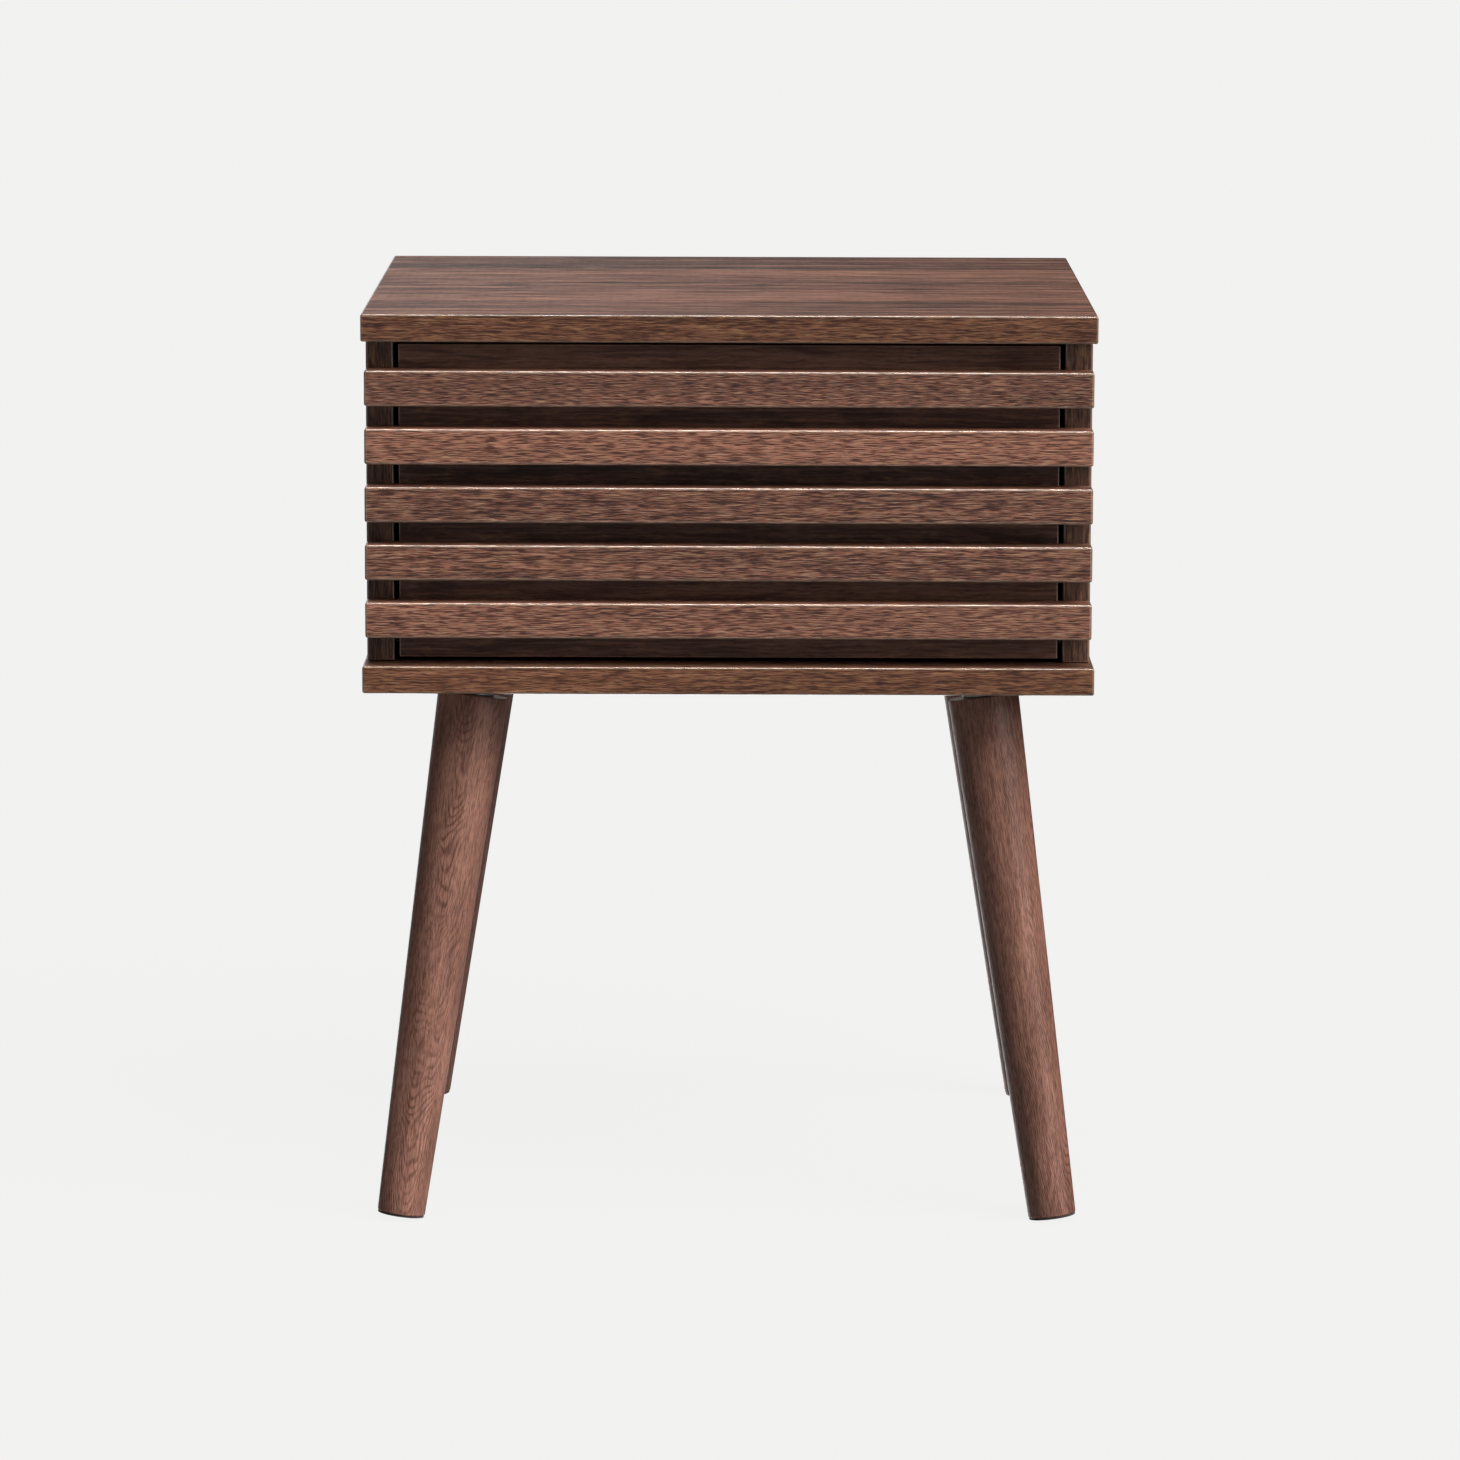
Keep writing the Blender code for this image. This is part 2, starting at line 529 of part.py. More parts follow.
def make_leg(end, side, meshes, screw_mesh, hole_mesh, bottom_panel):
    corner = f"{end}_{side}"
    out_x, out_y = SIDES[side], ENDS[end]
    top = (out_x * (TABLE_WIDTH / 2 - LEG_INSET_X), out_y * (TABLE_DEPTH / 2 - LEG_INSET_Y), LEG_TOP_Z)
    upward = (-out_x * tan(LEG_SPLAY_SIDE), -out_y * tan(LEG_SPLAY_FRONT), 1.0)
    axis = add_empty(f"leg_axis_{corner}", top, upward, table)
    leg_mesh, bolt_mesh, pad_mesh = meshes
    add_turned(f"leg_{corner}", leg_mesh, LEG_STEPS, WALNUT_LEG, axis)
    add_turned(f"hanger_bolt_{corner}", bolt_mesh, PIN_STEPS, ZINC_STEEL, axis)
    pad = add_turned(f"foot_pad_{corner}", pad_mesh, LEG_STEPS, PAD_FELT, axis)

    foot = axis.location - axis.matrix_basis.col[2].xyz * PAD_END
    reach = Vector((2 * PAD_RADIUS, 2 * PAD_RADIUS, 0))
    low, high = Vector((foot.x, foot.y, -PAD_RADIUS)) - reach, Vector((foot.x, foot.y, 0)) + reach
    combine(pad, add_box_cutter(f"floor_{corner}", low, high))

    plate = make_plate(f"mounting_plate_{corner}", axis)
    half = PLATE_SIZE / 2 - SCREW_EDGE_DISTANCE
    for index, (x, y) in enumerate(((-half, -half), (-half, half), (half, -half), (half, half)), start=1):
        screw = add_turned(f"plate_screw_{corner}_{index}", screw_mesh, SCREW_STEPS, ZINC_STEEL)
        screw.location = (plate.location.x + x, plate.location.y + y, PLATE_BOTTOM_Z)
        hole = add_turned(f"{screw.name}_hole", hole_mesh, SCREW_STEPS, collection=cutters)
        hole.location = screw.location
        combine(plate, hole)
        combine(bottom_panel, hole)


cabinet = make_cabinet()
make_drawer_box(make_drawer_front())

roller_meshes = make_roller_meshes()
for side_name in SIDES:
    make_roller("front", side_name, make_cabinet_rail(side_name), roller_meshes)
    make_roller("rear", side_name, make_drawer_rail(side_name), roller_meshes)

leg_meshes = make_leg_meshes()
plate_screw_mesh = turned_mesh("plate_screw", screw_profile())
screw_hole_mesh = turned_mesh("plate_screw_hole", screw_profile(TOUCH_GAP, below=CUT_MARGIN))
for end_name in ENDS:
    for side_name in SIDES:
        make_leg(end_name, side_name, leg_meshes, plate_screw_mesh, screw_hole_mesh, cabinet["bottom_panel"])
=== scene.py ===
"""Finishes, fittings and studio for a walnut side table with one slatted drawer on turned legs.

Metres, +Z up, the front faces -Y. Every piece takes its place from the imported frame.
"""

import math
from types import SimpleNamespace

import bmesh
import bpy
import numpy as np
from mathutils import Matrix, Vector


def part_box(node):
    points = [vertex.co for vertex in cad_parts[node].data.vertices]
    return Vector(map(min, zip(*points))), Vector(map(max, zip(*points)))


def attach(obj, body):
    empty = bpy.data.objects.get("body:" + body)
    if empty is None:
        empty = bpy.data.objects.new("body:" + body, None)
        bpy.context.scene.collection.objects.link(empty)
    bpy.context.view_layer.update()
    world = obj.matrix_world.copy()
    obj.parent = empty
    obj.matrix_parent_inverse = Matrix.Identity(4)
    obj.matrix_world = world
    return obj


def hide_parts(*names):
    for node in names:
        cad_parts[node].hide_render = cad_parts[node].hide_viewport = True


bl_info = {
    "name": "Side Table with Slatted Drawer",
    "version": (1, 0, 0),
    "blender": (4, 5, 0),
    "location": "3D View > Sidebar > Side Table",
    "description": "Builds the fine pieces, wood finishes and studio of a slatted side table",
    "category": "Object",
}

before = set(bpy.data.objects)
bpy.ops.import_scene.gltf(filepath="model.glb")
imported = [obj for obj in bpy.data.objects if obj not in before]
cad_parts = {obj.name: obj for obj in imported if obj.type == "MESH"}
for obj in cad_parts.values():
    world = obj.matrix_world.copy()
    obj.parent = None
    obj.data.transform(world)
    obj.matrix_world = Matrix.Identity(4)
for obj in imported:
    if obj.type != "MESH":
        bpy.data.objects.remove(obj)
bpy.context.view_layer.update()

X, Y, Z = 0, 1, 2
SIDES = {"left": -1, "right": 1}
CORNERS = ("front_left", "front_right", "back_left", "back_right")

# What a mesh of wood stores on itself for its finish.
GRAIN = "grain"  # a corner's place in its timber: along the grain, across it and into it
TONE = "tone"  # how much lighter than its neighbours a piece of wood is
POLISH_AND_HIGHLIGHT = "polish"  # 1 on rounded edges, which get a glossier coat and a painted highlight, and 0 elsewhere
FACING = "facing"  # which way a screw's head looks

SHEET_STEP = 0.37  # from one sheet of veneer to the next, into the timber that both lie in
BOARD_SHEETS = 10  # sheets set aside for each board, so that no two boards share one
SLAT_SHEETS = 8
CABINET_SHEET, PANEL_SHEET, SLAT_SHEET = 10, 60, 70  # each part's first sheet
ARC_SHIFT = 2 - math.sqrt(2)  # of a rounding's radius, lost where two faces' coordinates meet on it
MERGE_DISTANCE = 0.000001
FLAT_ANGLE = math.radians(0.5)  # triangles that meet at less lie in one face
BEVEL_ANGLE = math.radians(60)  # edges that turn by more are rounded
SOFT_EDGE_ANGLE = math.radians(50)  # edges that turn by less are shaded smooth
SCREW_EDGE_ANGLE = math.radians(35)
ROUND_COSINE = 0.995  # faces that look less than this along an axis belong to a rounded edge


# Settings


class WoodSettings(bpy.types.PropertyGroup):
    """Colours of the walnut and of the drawer's plywood."""

    def colour(name, description, default):
        return bpy.props.FloatVectorProperty(
            name=name, description=description, default=default, subtype="COLOR", min=0.0, max=1.0
        )

    heart: colour("Heartwood", "Darkest streaks of the walnut", (0.046, 0.0195, 0.0135))
    brown: colour("Brown", "Main colour of the walnut", (0.156, 0.074, 0.052))
    light: colour("Light", "Palest streaks of the walnut", (0.325, 0.168, 0.122))
    amber: colour("Amber", "Golden flecks in the walnut", (0.290, 0.142, 0.062))
    pore: colour("Pores", "Inside of the walnut's open pores", (0.028, 0.0120, 0.0088))
    birch: colour("Birch", "Faces of the drawer's plywood", (0.400, 0.272, 0.158))
    glue: colour("Glue lines", "Dark plies on the plywood's edges", (0.180, 0.105, 0.055))


class ShapeSettings(bpy.types.PropertyGroup):
    """Sizes of the fine shapes, where the frame leaves them open."""

    def radius(name, description, default):
        return bpy.props.FloatProperty(
            name=name, description=description, default=default, min=0.0, subtype="DISTANCE",
            unit="LENGTH",
        )

    def steps(name, description, default, low, high):
        return bpy.props.IntProperty(
            name=name, description=description, default=default, min=low, max=high
        )

    slat_rounding: radius("Slat rounding", "Radius of the slats' edges", 0.0015)
    leg_rounding: radius("Leg rounding", "Radius of the legs' rims", 0.0010)
    pad_rounding: radius("Pad rounding", "Radius of the foot pads' rims", 0.0003)
    back_rounding: radius("Back rounding", "Radius of the hardboard's edges", 0.0004)
    metal_rounding: radius("Metal rounding", "Radius of the sheet steel's edges", 0.0003)
    pin_rounding: radius("Pin rounding", "Radius of the roller pins' rims", 0.0002)
    roller_rounding: radius("Roller rounding", "Radius of the rollers' rims", 0.00028)
    edge_segments: steps("Edge segments", "Steps round each rounded edge of wood", 5, 1, 12)
    fine_segments: steps("Fine segments", "Steps round the other rounded edges", 2, 1, 12)
    pad_segments: steps("Pad segments", "Steps round the foot pads' rims", 3, 1, 12)
    turning_steps: steps("Turning steps", "Steps round each turned piece", 96, 12, 256)
    leg_rings: steps("Leg rings", "Steps down each leg", 24, 1, 96)


class StudioSettings(bpy.types.PropertyGroup):
    """Camera, floor and lights."""

    def turn(name, description, degrees):
        return bpy.props.FloatProperty(
            name=name, description=description, default=math.radians(degrees), subtype="ANGLE",
            unit="ROTATION",
        )

    camera_place: bpy.props.FloatVectorProperty(
        name="Camera", description="Where the camera stands", default=(0.0051, -4.1846, 0.9612),
        subtype="TRANSLATION", unit="LENGTH",
    )
    camera_tilt: turn("Tilt", "How far the camera looks down", 9.251)
    camera_turn: turn("Turn", "How far the camera looks to the left", 0.056)
    camera_roll: turn("Roll", "How far the camera leans", 0.184)
    lens: bpy.props.FloatProperty(
        name="Lens", description="Focal length on a 36 mm sensor", default=161.78, min=1.0,
        unit="CAMERA",
    )
    floor_colour: bpy.props.FloatVectorProperty(
        name="Floor", description="Colour of the floor and of the room",
        default=(0.887, 0.887, 0.880), subtype="COLOR", min=0.0, max=1.0,
    )
    floor_shadow: bpy.props.FloatProperty(
        name="Floor shadow", description="Share of the floor's brightness that shadows can take",
        default=0.03, min=0.0, max=1.0, subtype="FACTOR",
    )


class SideTableSettings(bpy.types.PropertyGroup):
    """Everything that can be changed on the side table."""

    wood: bpy.props.PointerProperty(
        type=WoodSettings, name="Wood", description="Colours of the wood"
    )
    shape: bpy.props.PointerProperty(
        type=ShapeSettings, name="Shape", description="Sizes of the fine shapes"
    )
    studio: bpy.props.PointerProperty(
        type=StudioSettings, name="Studio", description="Camera, floor and lights"
    )


# Node trees


class Wire:
    """An output of a node. Arithmetic on it adds Math nodes to its tree."""

    def __init__(self, nodes, socket):
        self.nodes = nodes
        self.socket = socket

    def __add__(self, other):
        return self.nodes.math("ADD", self, other)

    def __sub__(self, other):
        return self.nodes.math("SUBTRACT", self, other)

    def __rsub__(self, other):
        return self.nodes.math("SUBTRACT", other, self)

    def __mul__(self, other):
        return self.nodes.math("MULTIPLY", self, other)

    def __truediv__(self, other):
        return self.nodes.math("DIVIDE", self, other)

    def __neg__(self):
        return self.nodes.math("MULTIPLY", self, -1.0)

    __radd__ = __add__
    __rmul__ = __mul__

    def output(self, key):
        """Another output of the same node."""
        return Wire(self.nodes, find_socket(self.socket.node.outputs, key))


def find_socket(sockets, key):
    """The socket with this index, identifier or name."""
    if isinstance(key, int):
        return sockets[key]
    return next((socket for socket in sockets if socket.identifier == key), None) or sockets[key]


class Nodes:
    """Adds nodes to one shader or geometry tree."""

    def __init__(self, tree):
        self.tree = tree

    def add(self, kind, settings=None, inputs=None, output=0):
        """A new node of this kind, as the Wire of one of its outputs. Settings come first."""
        node = self.tree.nodes.new(kind)
        for name, value in (settings or {}).items():
            if name == "stops":
                self.set_stops(node.color_ramp.elements, value)
            else:
                setattr(node, name, value)
        for key, value in (inputs or {}).items():
            self.feed(find_socket(node.inputs, key), value)
        return Wire(self, find_socket(node.outputs, output)) if len(node.outputs) else node

    def feed(self, socket, value):
        """Links or sets one input. A list links several wires to an input that takes them."""
        for one in value if isinstance(value, list) else [value]:
            if isinstance(one, Wire):
                self.tree.links.new(one.socket, socket)
            else:
                socket.default_value = one

    @staticmethod
    def set_stops(elements, stops):
        while len(elements) < len(stops):
            elements.new(1.0)
        for element, (position, colour) in zip(elements, stops):
            element.position = position
            element.color = (*colour, 1.0)

    def math(self, operation, *values):
        return self.add("ShaderNodeMath", {"operation": operation}, dict(enumerate(values)))

    def vector_math(self, operation, *values):
        return self.add("ShaderNodeVectorMath", {"operation": operation}, dict(enumerate(values)))

    def vector(self, *values):
        return self.add("ShaderNodeCombineXYZ", None, dict(enumerate(values)))

    def attribute(self, name, output):
        return self.add("ShaderNodeAttribute", {"attribute_name": name}, output=output)

    def place(self):
        """Where a point lies on its piece, in metres."""
        return self.add("ShaderNodeTexCoord", output="Object")

    def mix(self, factor, first, second, blend="MIX"):
        """Colours from first to second."""
        values = {"Factor_Float": factor, "A_Color": opaque(first), "B_Color": opaque(second)}
        return self.add(
            "ShaderNodeMix", {"data_type": "RGBA", "blend_type": blend}, values, "Result_Color"
        )

    def ease(self, value, low, high):
        """0 at low, 1 at high, smooth between them and level beyond them."""
        return self.add(
            "ShaderNodeMapRange", {"interpolation_type": "SMOOTHSTEP"},
            {"Value": value, "From Min": low, "From Max": high},
        )

    def noise(self, place, cell, detail=2.0, roughness=0.5):
        """Noise from 0 to 1 whose cells measure cell, in metres along each axis."""
        scaled = self.vector_math("MULTIPLY", place, tuple(1 / size for size in cell))
        return self.add(
            "ShaderNodeTexNoise", None,
            {"Vector": scaled, "Scale": 1.0, "Detail": detail, "Roughness": roughness},
        )


def opaque(colour):
    """A colour for a socket: three numbers get their alpha."""
    return colour if isinstance(colour, Wire) else (*tuple(colour)[:3], 1.0)


def scaled_colour(colour, *scales):
    """A colour times one number, or times one for each channel."""
    scales = scales * 3 if len(scales) == 1 else scales
    return tuple(min(1.0, channel * scale) for channel, scale in zip(colour, scales))


# Finishes

# How walnut veneer looks. Lengths are in metres, and a cell is measured along, across and into
# the grain. Limits are where a noise or a wave turns from none of a mark into all of it.
VENEER = dict(
    tint=(0.84, 0.77, 0.65), middle=0.56,
    bands=0.9, band_cell=(0.60, 0.016, 0.10),
    streaks=0.8, streak_cell=(0.20, 0.0032, 0.10),
    tones=(), tone_wave=3.0, knots=(),
    flecks=0.65, fleck_cell=(0.012, 0.0045, 0.02), fleck_limits=(0.52, 0.72),
    wave=0.0012, wave_cell=(0.013, 0.0055, 0.10),
    sway=0.030, sway_cell=(0.30, 0.050, 0.10), across=0.55, lean=0.0, slope=0.0,
    rings=0.55, ring_gap=0.0052, ring_wave=900, ring_shade=(0.42, 0.34, 0.31),
    patch_cell=(0.08, 0.010, 0.05), patch_limits=(0.30, 0.65),
    figure=0.90, figure_cell=(0.012, 0.0010, 0.05), figure_detail=2.5,
    figure_from=0.47, figure_width=0.12, figure_shade=(0.36, 0.29, 0.27),
    shine=0.15, shine_from=-0.02, shine_to=-0.16, shine_colour=(0.40, 0.25, 0.165),
    # On rounded edges the first of these lightens the colour, a painted highlight, and the second
    # makes them glossier.
    polish=0.30, polish_gloss=0.12, coat_roughness=0.16, coat_ior=1.8,
    veins=0.0, vein_cell=(0.022, 0.0016, 0.05), vein_limits=(0.11, 0.03),
    pores=0.50, pore_cell=(0.0060, 0.00055, 0.0010), pore_from=0.56, pore_width=0.12,
    fibre_cell=(0.020, 0.00035, 0.001), roughness=0.42, specular=0.40, depth=0.00010,
)
# How each other walnut finish differs from it.
WALNUTS = {
    "Walnut board": {},
    "Walnut edge": dict(
        tint=(0.98, 0.78, 0.56), bands=0.7, flecks=0.6, wave=0.0007, wave_cell=(0.007, 0.006, 0.10),
        rings=0.3, figure_cell=(0.010, 0.00065, 0.05), figure_detail=1.2,
        figure_shade=(0.28, 0.23, 0.22), shine=0.35, shine_colour=(0.34, 0.21, 0.11), veins=0.30,
    ),
    # The side panels' front edges sit back between the slats: darker and greyer than the boards, a
    # painted shade.
    "Walnut side edge": dict(tint=(0.64, 0.62, 0.55)),
    "Walnut panel": dict(
        tint=(0.86, 0.80, 0.74), bands=0.6,
        # These tones lighten the strip under the top board and darken the middle gaps between the
        # slats: painted light and shade.
        tones=((0.40, 0.02), (0.43, -0.12), (0.47, -0.22), (0.50, -0.06), (0.525, 0.05),
               (0.540, 0.22)),
        flecks=0.35, sway=0.045, sway_cell=(0.22, 0.07, 0.10), rings=0.85, ring_gap=0.014,
        figure=0.55, figure_cell=(0.030, 0.0014, 0.05), pores=0.35,
    ),
    "Walnut top": dict(
        tint=(0.82, 0.70, 0.62), band_cell=(0.90, 0.014, 0.10),
        streaks=2.9, streak_cell=(0.22, 0.0066, 0.10),
        tones=((-0.200, 0.00), (-0.180, 0.02), (-0.150, 0.04), (-0.135, -0.12), (-0.115, -0.12),
               (-0.100, 0.16), (-0.050, 0.14), (-0.035, -0.06), (0.020, -0.02), (0.035, 0.20),
               (0.105, 0.24), (0.115, -0.14), (0.200, -0.20)),
        knots=((-0.140, -0.006, 0.030, 0.014, 1.0), (-0.075, 0.012, 0.036, 0.012, 0.8),
               (0.020, -0.004, 0.026, 0.013, 1.0), (0.115, -0.030, 0.040, 0.010, 0.6)),
        flecks=0.20, rings=0.75, ring_gap=0.011, ring_shade=(0.34, 0.31, 0.32),
        figure=0.75, figure_cell=(0.035, 0.0022, 0.05), figure_shade=(0.34, 0.30, 0.30),
        shine=0.25, roughness=0.43, depth=0.00005,
    ),
    "Walnut slat": dict(
        tint=(1.36, 1.11, 0.95), bands=0.6, band_cell=(0.35, 0.010, 0.10),
        streaks=0.6, streak_cell=(0.16, 0.0030, 0.10), flecks=0.35,
        wave=0.0006, wave_cell=(0.006, 0.006, 0.10), rings=0.25,
        figure=1.0, figure_cell=(0.010, 0.00055, 0.05), figure_detail=1.0, figure_from=0.46,
        figure_shade=(0.24, 0.18, 0.17), shine=0.60, shine_colour=(0.46, 0.30, 0.19), veins=0.35,
        pores=0.45, specular=0.5, depth=0.00016,
    ),
    "Walnut leg": dict(
        tint=(1.38, 1.31, 1.31), bands=0.60, band_cell=(0.10, 0.012, 0.012),
        streaks=0.6, streak_cell=(0.06, 0.0022, 0.0022),
        flecks=0.2, fleck_cell=(0.020, 0.005, 0.005), wave=0.0006, wave_cell=(0.010, 0.005, 0.005),
        sway=0.0055, sway_cell=(0.050, 0.018, 0.018), across=0.0, lean=1.0, slope=0.100,
        rings=0.75, ring_gap=0.0011, ring_shade=(0.36, 0.29, 0.27),
        figure=0.60, figure_cell=(0.007, 0.0007, 0.0007), shine=0.20,
        pores=0.35, pore_cell=(0.0050, 0.00050, 0.00050),
        roughness=0.40, specular=0.36, depth=0.00008,
    ),
}


def make_finish(name, constants):
    """A new material: its Nodes and its Principled shader, with the constant sockets set."""
    material = bpy.data.materials.new(name)
    material.use_nodes = True
    shader = material.node_tree.nodes["Principled BSDF"]
    for key, value in constants.items():
        shader.inputs[key].default_value = value
    return material, Nodes(material.node_tree), shader


def wear(nodes, shader, colour, roughness, height, depth):
    """Feeds what varies over the surface to the shader. Height is from 0 to 1, depth in metres."""
    bump = nodes.add("ShaderNodeBump", None, {"Strength": 1.0, "Distance": depth, "Height": height})
    for key, value in (("Base Color", colour), ("Roughness", roughness), ("Normal", bump)):
        nodes.feed(shader.inputs[key], value)


def make_walnut(name, wood, look):
    """Walnut that follows the piece's grain: bands, rings, wavy figure, pores and golden flecks."""
    material, nodes, shader = make_finish(name, {
        "Specular IOR Level": look.specular, "Coat Roughness": look.coat_roughness,
        "Coat IOR": look.coat_ior,
    })
    grain = nodes.attribute(GRAIN, "Vector")
    tone = nodes.attribute(TONE, "Fac")
    polish = nodes.attribute(POLISH_AND_HIGHLIGHT, "Fac")
    along = nodes.add("ShaderNodeSeparateXYZ", None, {0: grain})
    across, deep = along.output("Y"), along.output("Z")

    # Short waves bend the figure, and long sways bend the growth rings.
    wave = (nodes.noise(grain, look.wave_cell, detail=1.5) - 0.5) * (2 * look.wave)
    waved = nodes.vector(along, across + wave, deep)
    sway = (nodes.noise(grain, look.sway_cell, detail=1.5) - 0.5) * (2 * look.sway)
    layer = across * look.across + deep * look.lean + along * look.slope + sway

    bands = nodes.noise(waved, look.band_cell, detail=2.5, roughness=0.6)
    streaks = nodes.noise(waved, look.streak_cell, detail=3.0, roughness=0.65)
    lightness = look.middle + (bands - 0.5) * look.bands + (streaks - 0.5) * look.streaks + tone
    if look.tones:
        lightness = lightness + sheet_tone(nodes, across + wave * look.tone_wave, look.tones)
    for knot in look.knots:
        lightness = lightness - knot_shade(nodes, along, across, *knot)
    stops = [(0.10, wood.heart), (0.50, wood.brown), (0.95, wood.light)]
    tinted = [(place, scaled_colour(colour, *look.tint)) for place, colour in stops]
    colour = nodes.add("ShaderNodeValToRGB", {"stops": tinted}, {0: lightness})

    fleck = nodes.ease(nodes.noise(waved, look.fleck_cell, detail=1.5), *look.fleck_limits)
    colour = nodes.mix(fleck * look.flecks, colour, wood.amber)

    turns = layer * (2 * math.pi / look.ring_gap) + wave * look.ring_wave
    ring = nodes.ease(nodes.math("SINE", turns), 0.0, 1.0)
    patch = nodes.ease(nodes.noise(waved, look.patch_cell), *look.patch_limits)
    colour = nodes.mix(ring * (patch * look.rings), colour, look.ring_shade, "MULTIPLY")

    # The figure's ripples are dark on one side and shine on the other.
    ripple = nodes.noise(waved, look.figure_cell, detail=look.figure_detail, roughness=0.6)
    start = look.figure_from
    figure = nodes.ease(ripple, start, start + look.figure_width)
    shine = nodes.ease(ripple, start + look.shine_from, start + look.shine_to)
    colour = nodes.mix(figure * look.figure, colour, look.figure_shade, "MULTIPLY")
    # Rounded edges are lightened towards the shine colour too: a painted highlight.
    colour = nodes.mix(shine * look.shine + polish * look.polish, colour, look.shine_colour)
    if look.veins:
        level = nodes.noise(waved, look.vein_cell, detail=0.5)
        vein = nodes.ease(nodes.math("ABSOLUTE", level - 0.5), *look.vein_limits)
        colour = nodes.mix(vein * look.veins, colour, look.figure_shade, "MULTIPLY")

    speck = nodes.noise(waved, look.pore_cell, detail=1.0)
    pore = nodes.ease(speck, look.pore_from, look.pore_from + look.pore_width)
    colour = nodes.mix(pore * look.pores, colour, wood.pore)

    fibre = nodes.noise(waved, look.fibre_cell) - 0.5
    matt = look.roughness + pore * 0.20 + figure * 0.06 + fibre * 0.12
    wear(
        nodes, shader, colour, roughness=matt - polish * look.polish_gloss,
        height=0.75 + fibre * 0.30 - pore * 0.35 - figure * 0.30, depth=look.depth,
    )
    nodes.feed(shader.inputs["Coat Weight"], polish * (1.0 - figure * 0.5))
    return material


def sheet_tone(nodes, across, tones):
    """How light a sheet is made across its width, from (place in metres, tone) pairs: veneer tone
    on the top, painted light and shade on the drawer's panel.
    """
    low, high = tones[0][0], tones[-1][0]
    stops = [((place - low) / (high - low), [0.5 + tone] * 3) for place, tone in tones]
    share = nodes.add(
        "ShaderNodeMapRange", None, {"Value": across, "From Min": low, "From Max": high}
    )
    ramp = nodes.add("ShaderNodeValToRGB", {"stops": stops}, {0: share})
    return nodes.add("ShaderNodeSeparateColor", None, {0: ramp}) - 0.5


def knot_shade(nodes, along, across, x, y, length, width, dark):
    """How much darker a small knot with drawn-out ends makes the wood."""
    near = nodes.math("ABSOLUTE", (along - x) / length)
    aside = nodes.math("ABSOLUTE", (across - y) / width)
    return nodes.ease(near + aside, 1.0, 0.1) * dark


def make_birch(name, wood, edge, ply_pair=0.0026):
    """Birch plywood: its pale face, or its edge with the plies one over another."""
    material, nodes, shader = make_finish(name, {"Specular IOR Level": 0.35})
    grain = nodes.attribute(GRAIN, "Vector")
    fibre = nodes.noise(grain, (0.030, 0.0007, 0.004), detail=3.0, roughness=0.6)
    cloud = nodes.ease(nodes.noise(grain, (0.15, 0.030, 0.05)), 0.3, 0.7)
    colour = nodes.mix(cloud, wood.birch, scaled_colour(wood.birch, 1.18))
    fleck = nodes.ease(nodes.noise(grain, (0.004, 0.0005, 0.002)), 0.60, 0.72)
    line = nodes.ease(fibre, 0.45, 0.70)
    colour = nodes.mix(line * 0.30 + fleck * 0.30, colour, wood.glue)
    height = fibre
    if edge:
        depth = nodes.add("ShaderNodeSeparateXYZ", None, {0: grain}, "Z")
        ply = nodes.ease(nodes.math("SINE", depth * (2 * math.pi / ply_pair)), -0.1, 0.3)
        end_grain = nodes.ease(nodes.noise(grain, (0.0012, 0.0012, 0.0005)), 0.35, 0.75)
        colour = nodes.mix(ply * (0.40 + end_grain * 0.35), colour, wood.glue)
        height = fibre * 0.5 + ply * 0.5
    wear(nodes, shader, colour, 0.50 + (fibre - 0.5) * 0.25, height, depth=0.00006)
    return material


def make_hardboard(name, pale, warm, dark):
    """Brown hardboard: pressed fibres, from pale to warm in soft clouds, with dark specks."""
    material, nodes, shader = make_finish(name, {"Specular IOR Level": 0.3})
    place = nodes.place()
    fibre = nodes.noise(place, (0.0012,) * 3, detail=4.0, roughness=0.7)
    cloud = nodes.ease(nodes.noise(place, (0.06,) * 3, detail=3.0), 0.3, 0.7)
    speck = nodes.ease(nodes.noise(place, (0.0035,) * 3, detail=3.0, roughness=0.7), 0.45, 0.70)
    marks = speck * 0.35 + nodes.ease(fibre, 0.50, 0.66) * 0.5
    colour = nodes.mix(marks, nodes.mix(cloud, pale, warm), dark)
    wear(nodes, shader, colour, 0.62 + (fibre - 0.5) * 0.3, height=fibre, depth=0.00012)
    return material


def make_metal(name, bright, dull, metallic, roughness, depth):
    """Zinc or powder coat on steel, with duller patches and fine scratches."""
    material, nodes, shader = make_finish(name, {"Metallic": metallic})
    place = nodes.place()
    patch = nodes.ease(nodes.noise(place, (0.006,) * 3, detail=3.0, roughness=0.6), 0.35, 0.7)
    grit = nodes.noise(place, (0.0005,) * 3)
    scratch = nodes.ease(nodes.noise(place, (0.008, 0.0003, 0.0003), detail=1.0), 0.66, 0.74)
    matt = roughness + patch * 0.12 + (grit - 0.5) * 0.12 - scratch * 0.08
    wear(nodes, shader, nodes.mix(patch, bright, dull), matt, grit * 0.7 - scratch * 0.3, depth)
    return material


def make_moulded(name, colour, roughness, cell, depth, sheen):
    """Moulded plastic or pressed felt with a fine skin, darker in soft clouds."""
    material, nodes, shader = make_finish(
        name, {"Specular IOR Level": 0.4, "Sheen Weight": sheen}
    )
    place = nodes.place()
    skin = nodes.noise(place, (cell,) * 3, detail=3.0, roughness=0.6)
    cloud = nodes.ease(nodes.noise(place, (0.010,) * 3), 0.3, 0.75)
    shaded = nodes.mix(cloud, colour, scaled_colour(colour, 0.72))
    wear(nodes, shader, shaded, roughness + (skin - 0.5) * 0.2, height=skin, depth=depth)
    return material


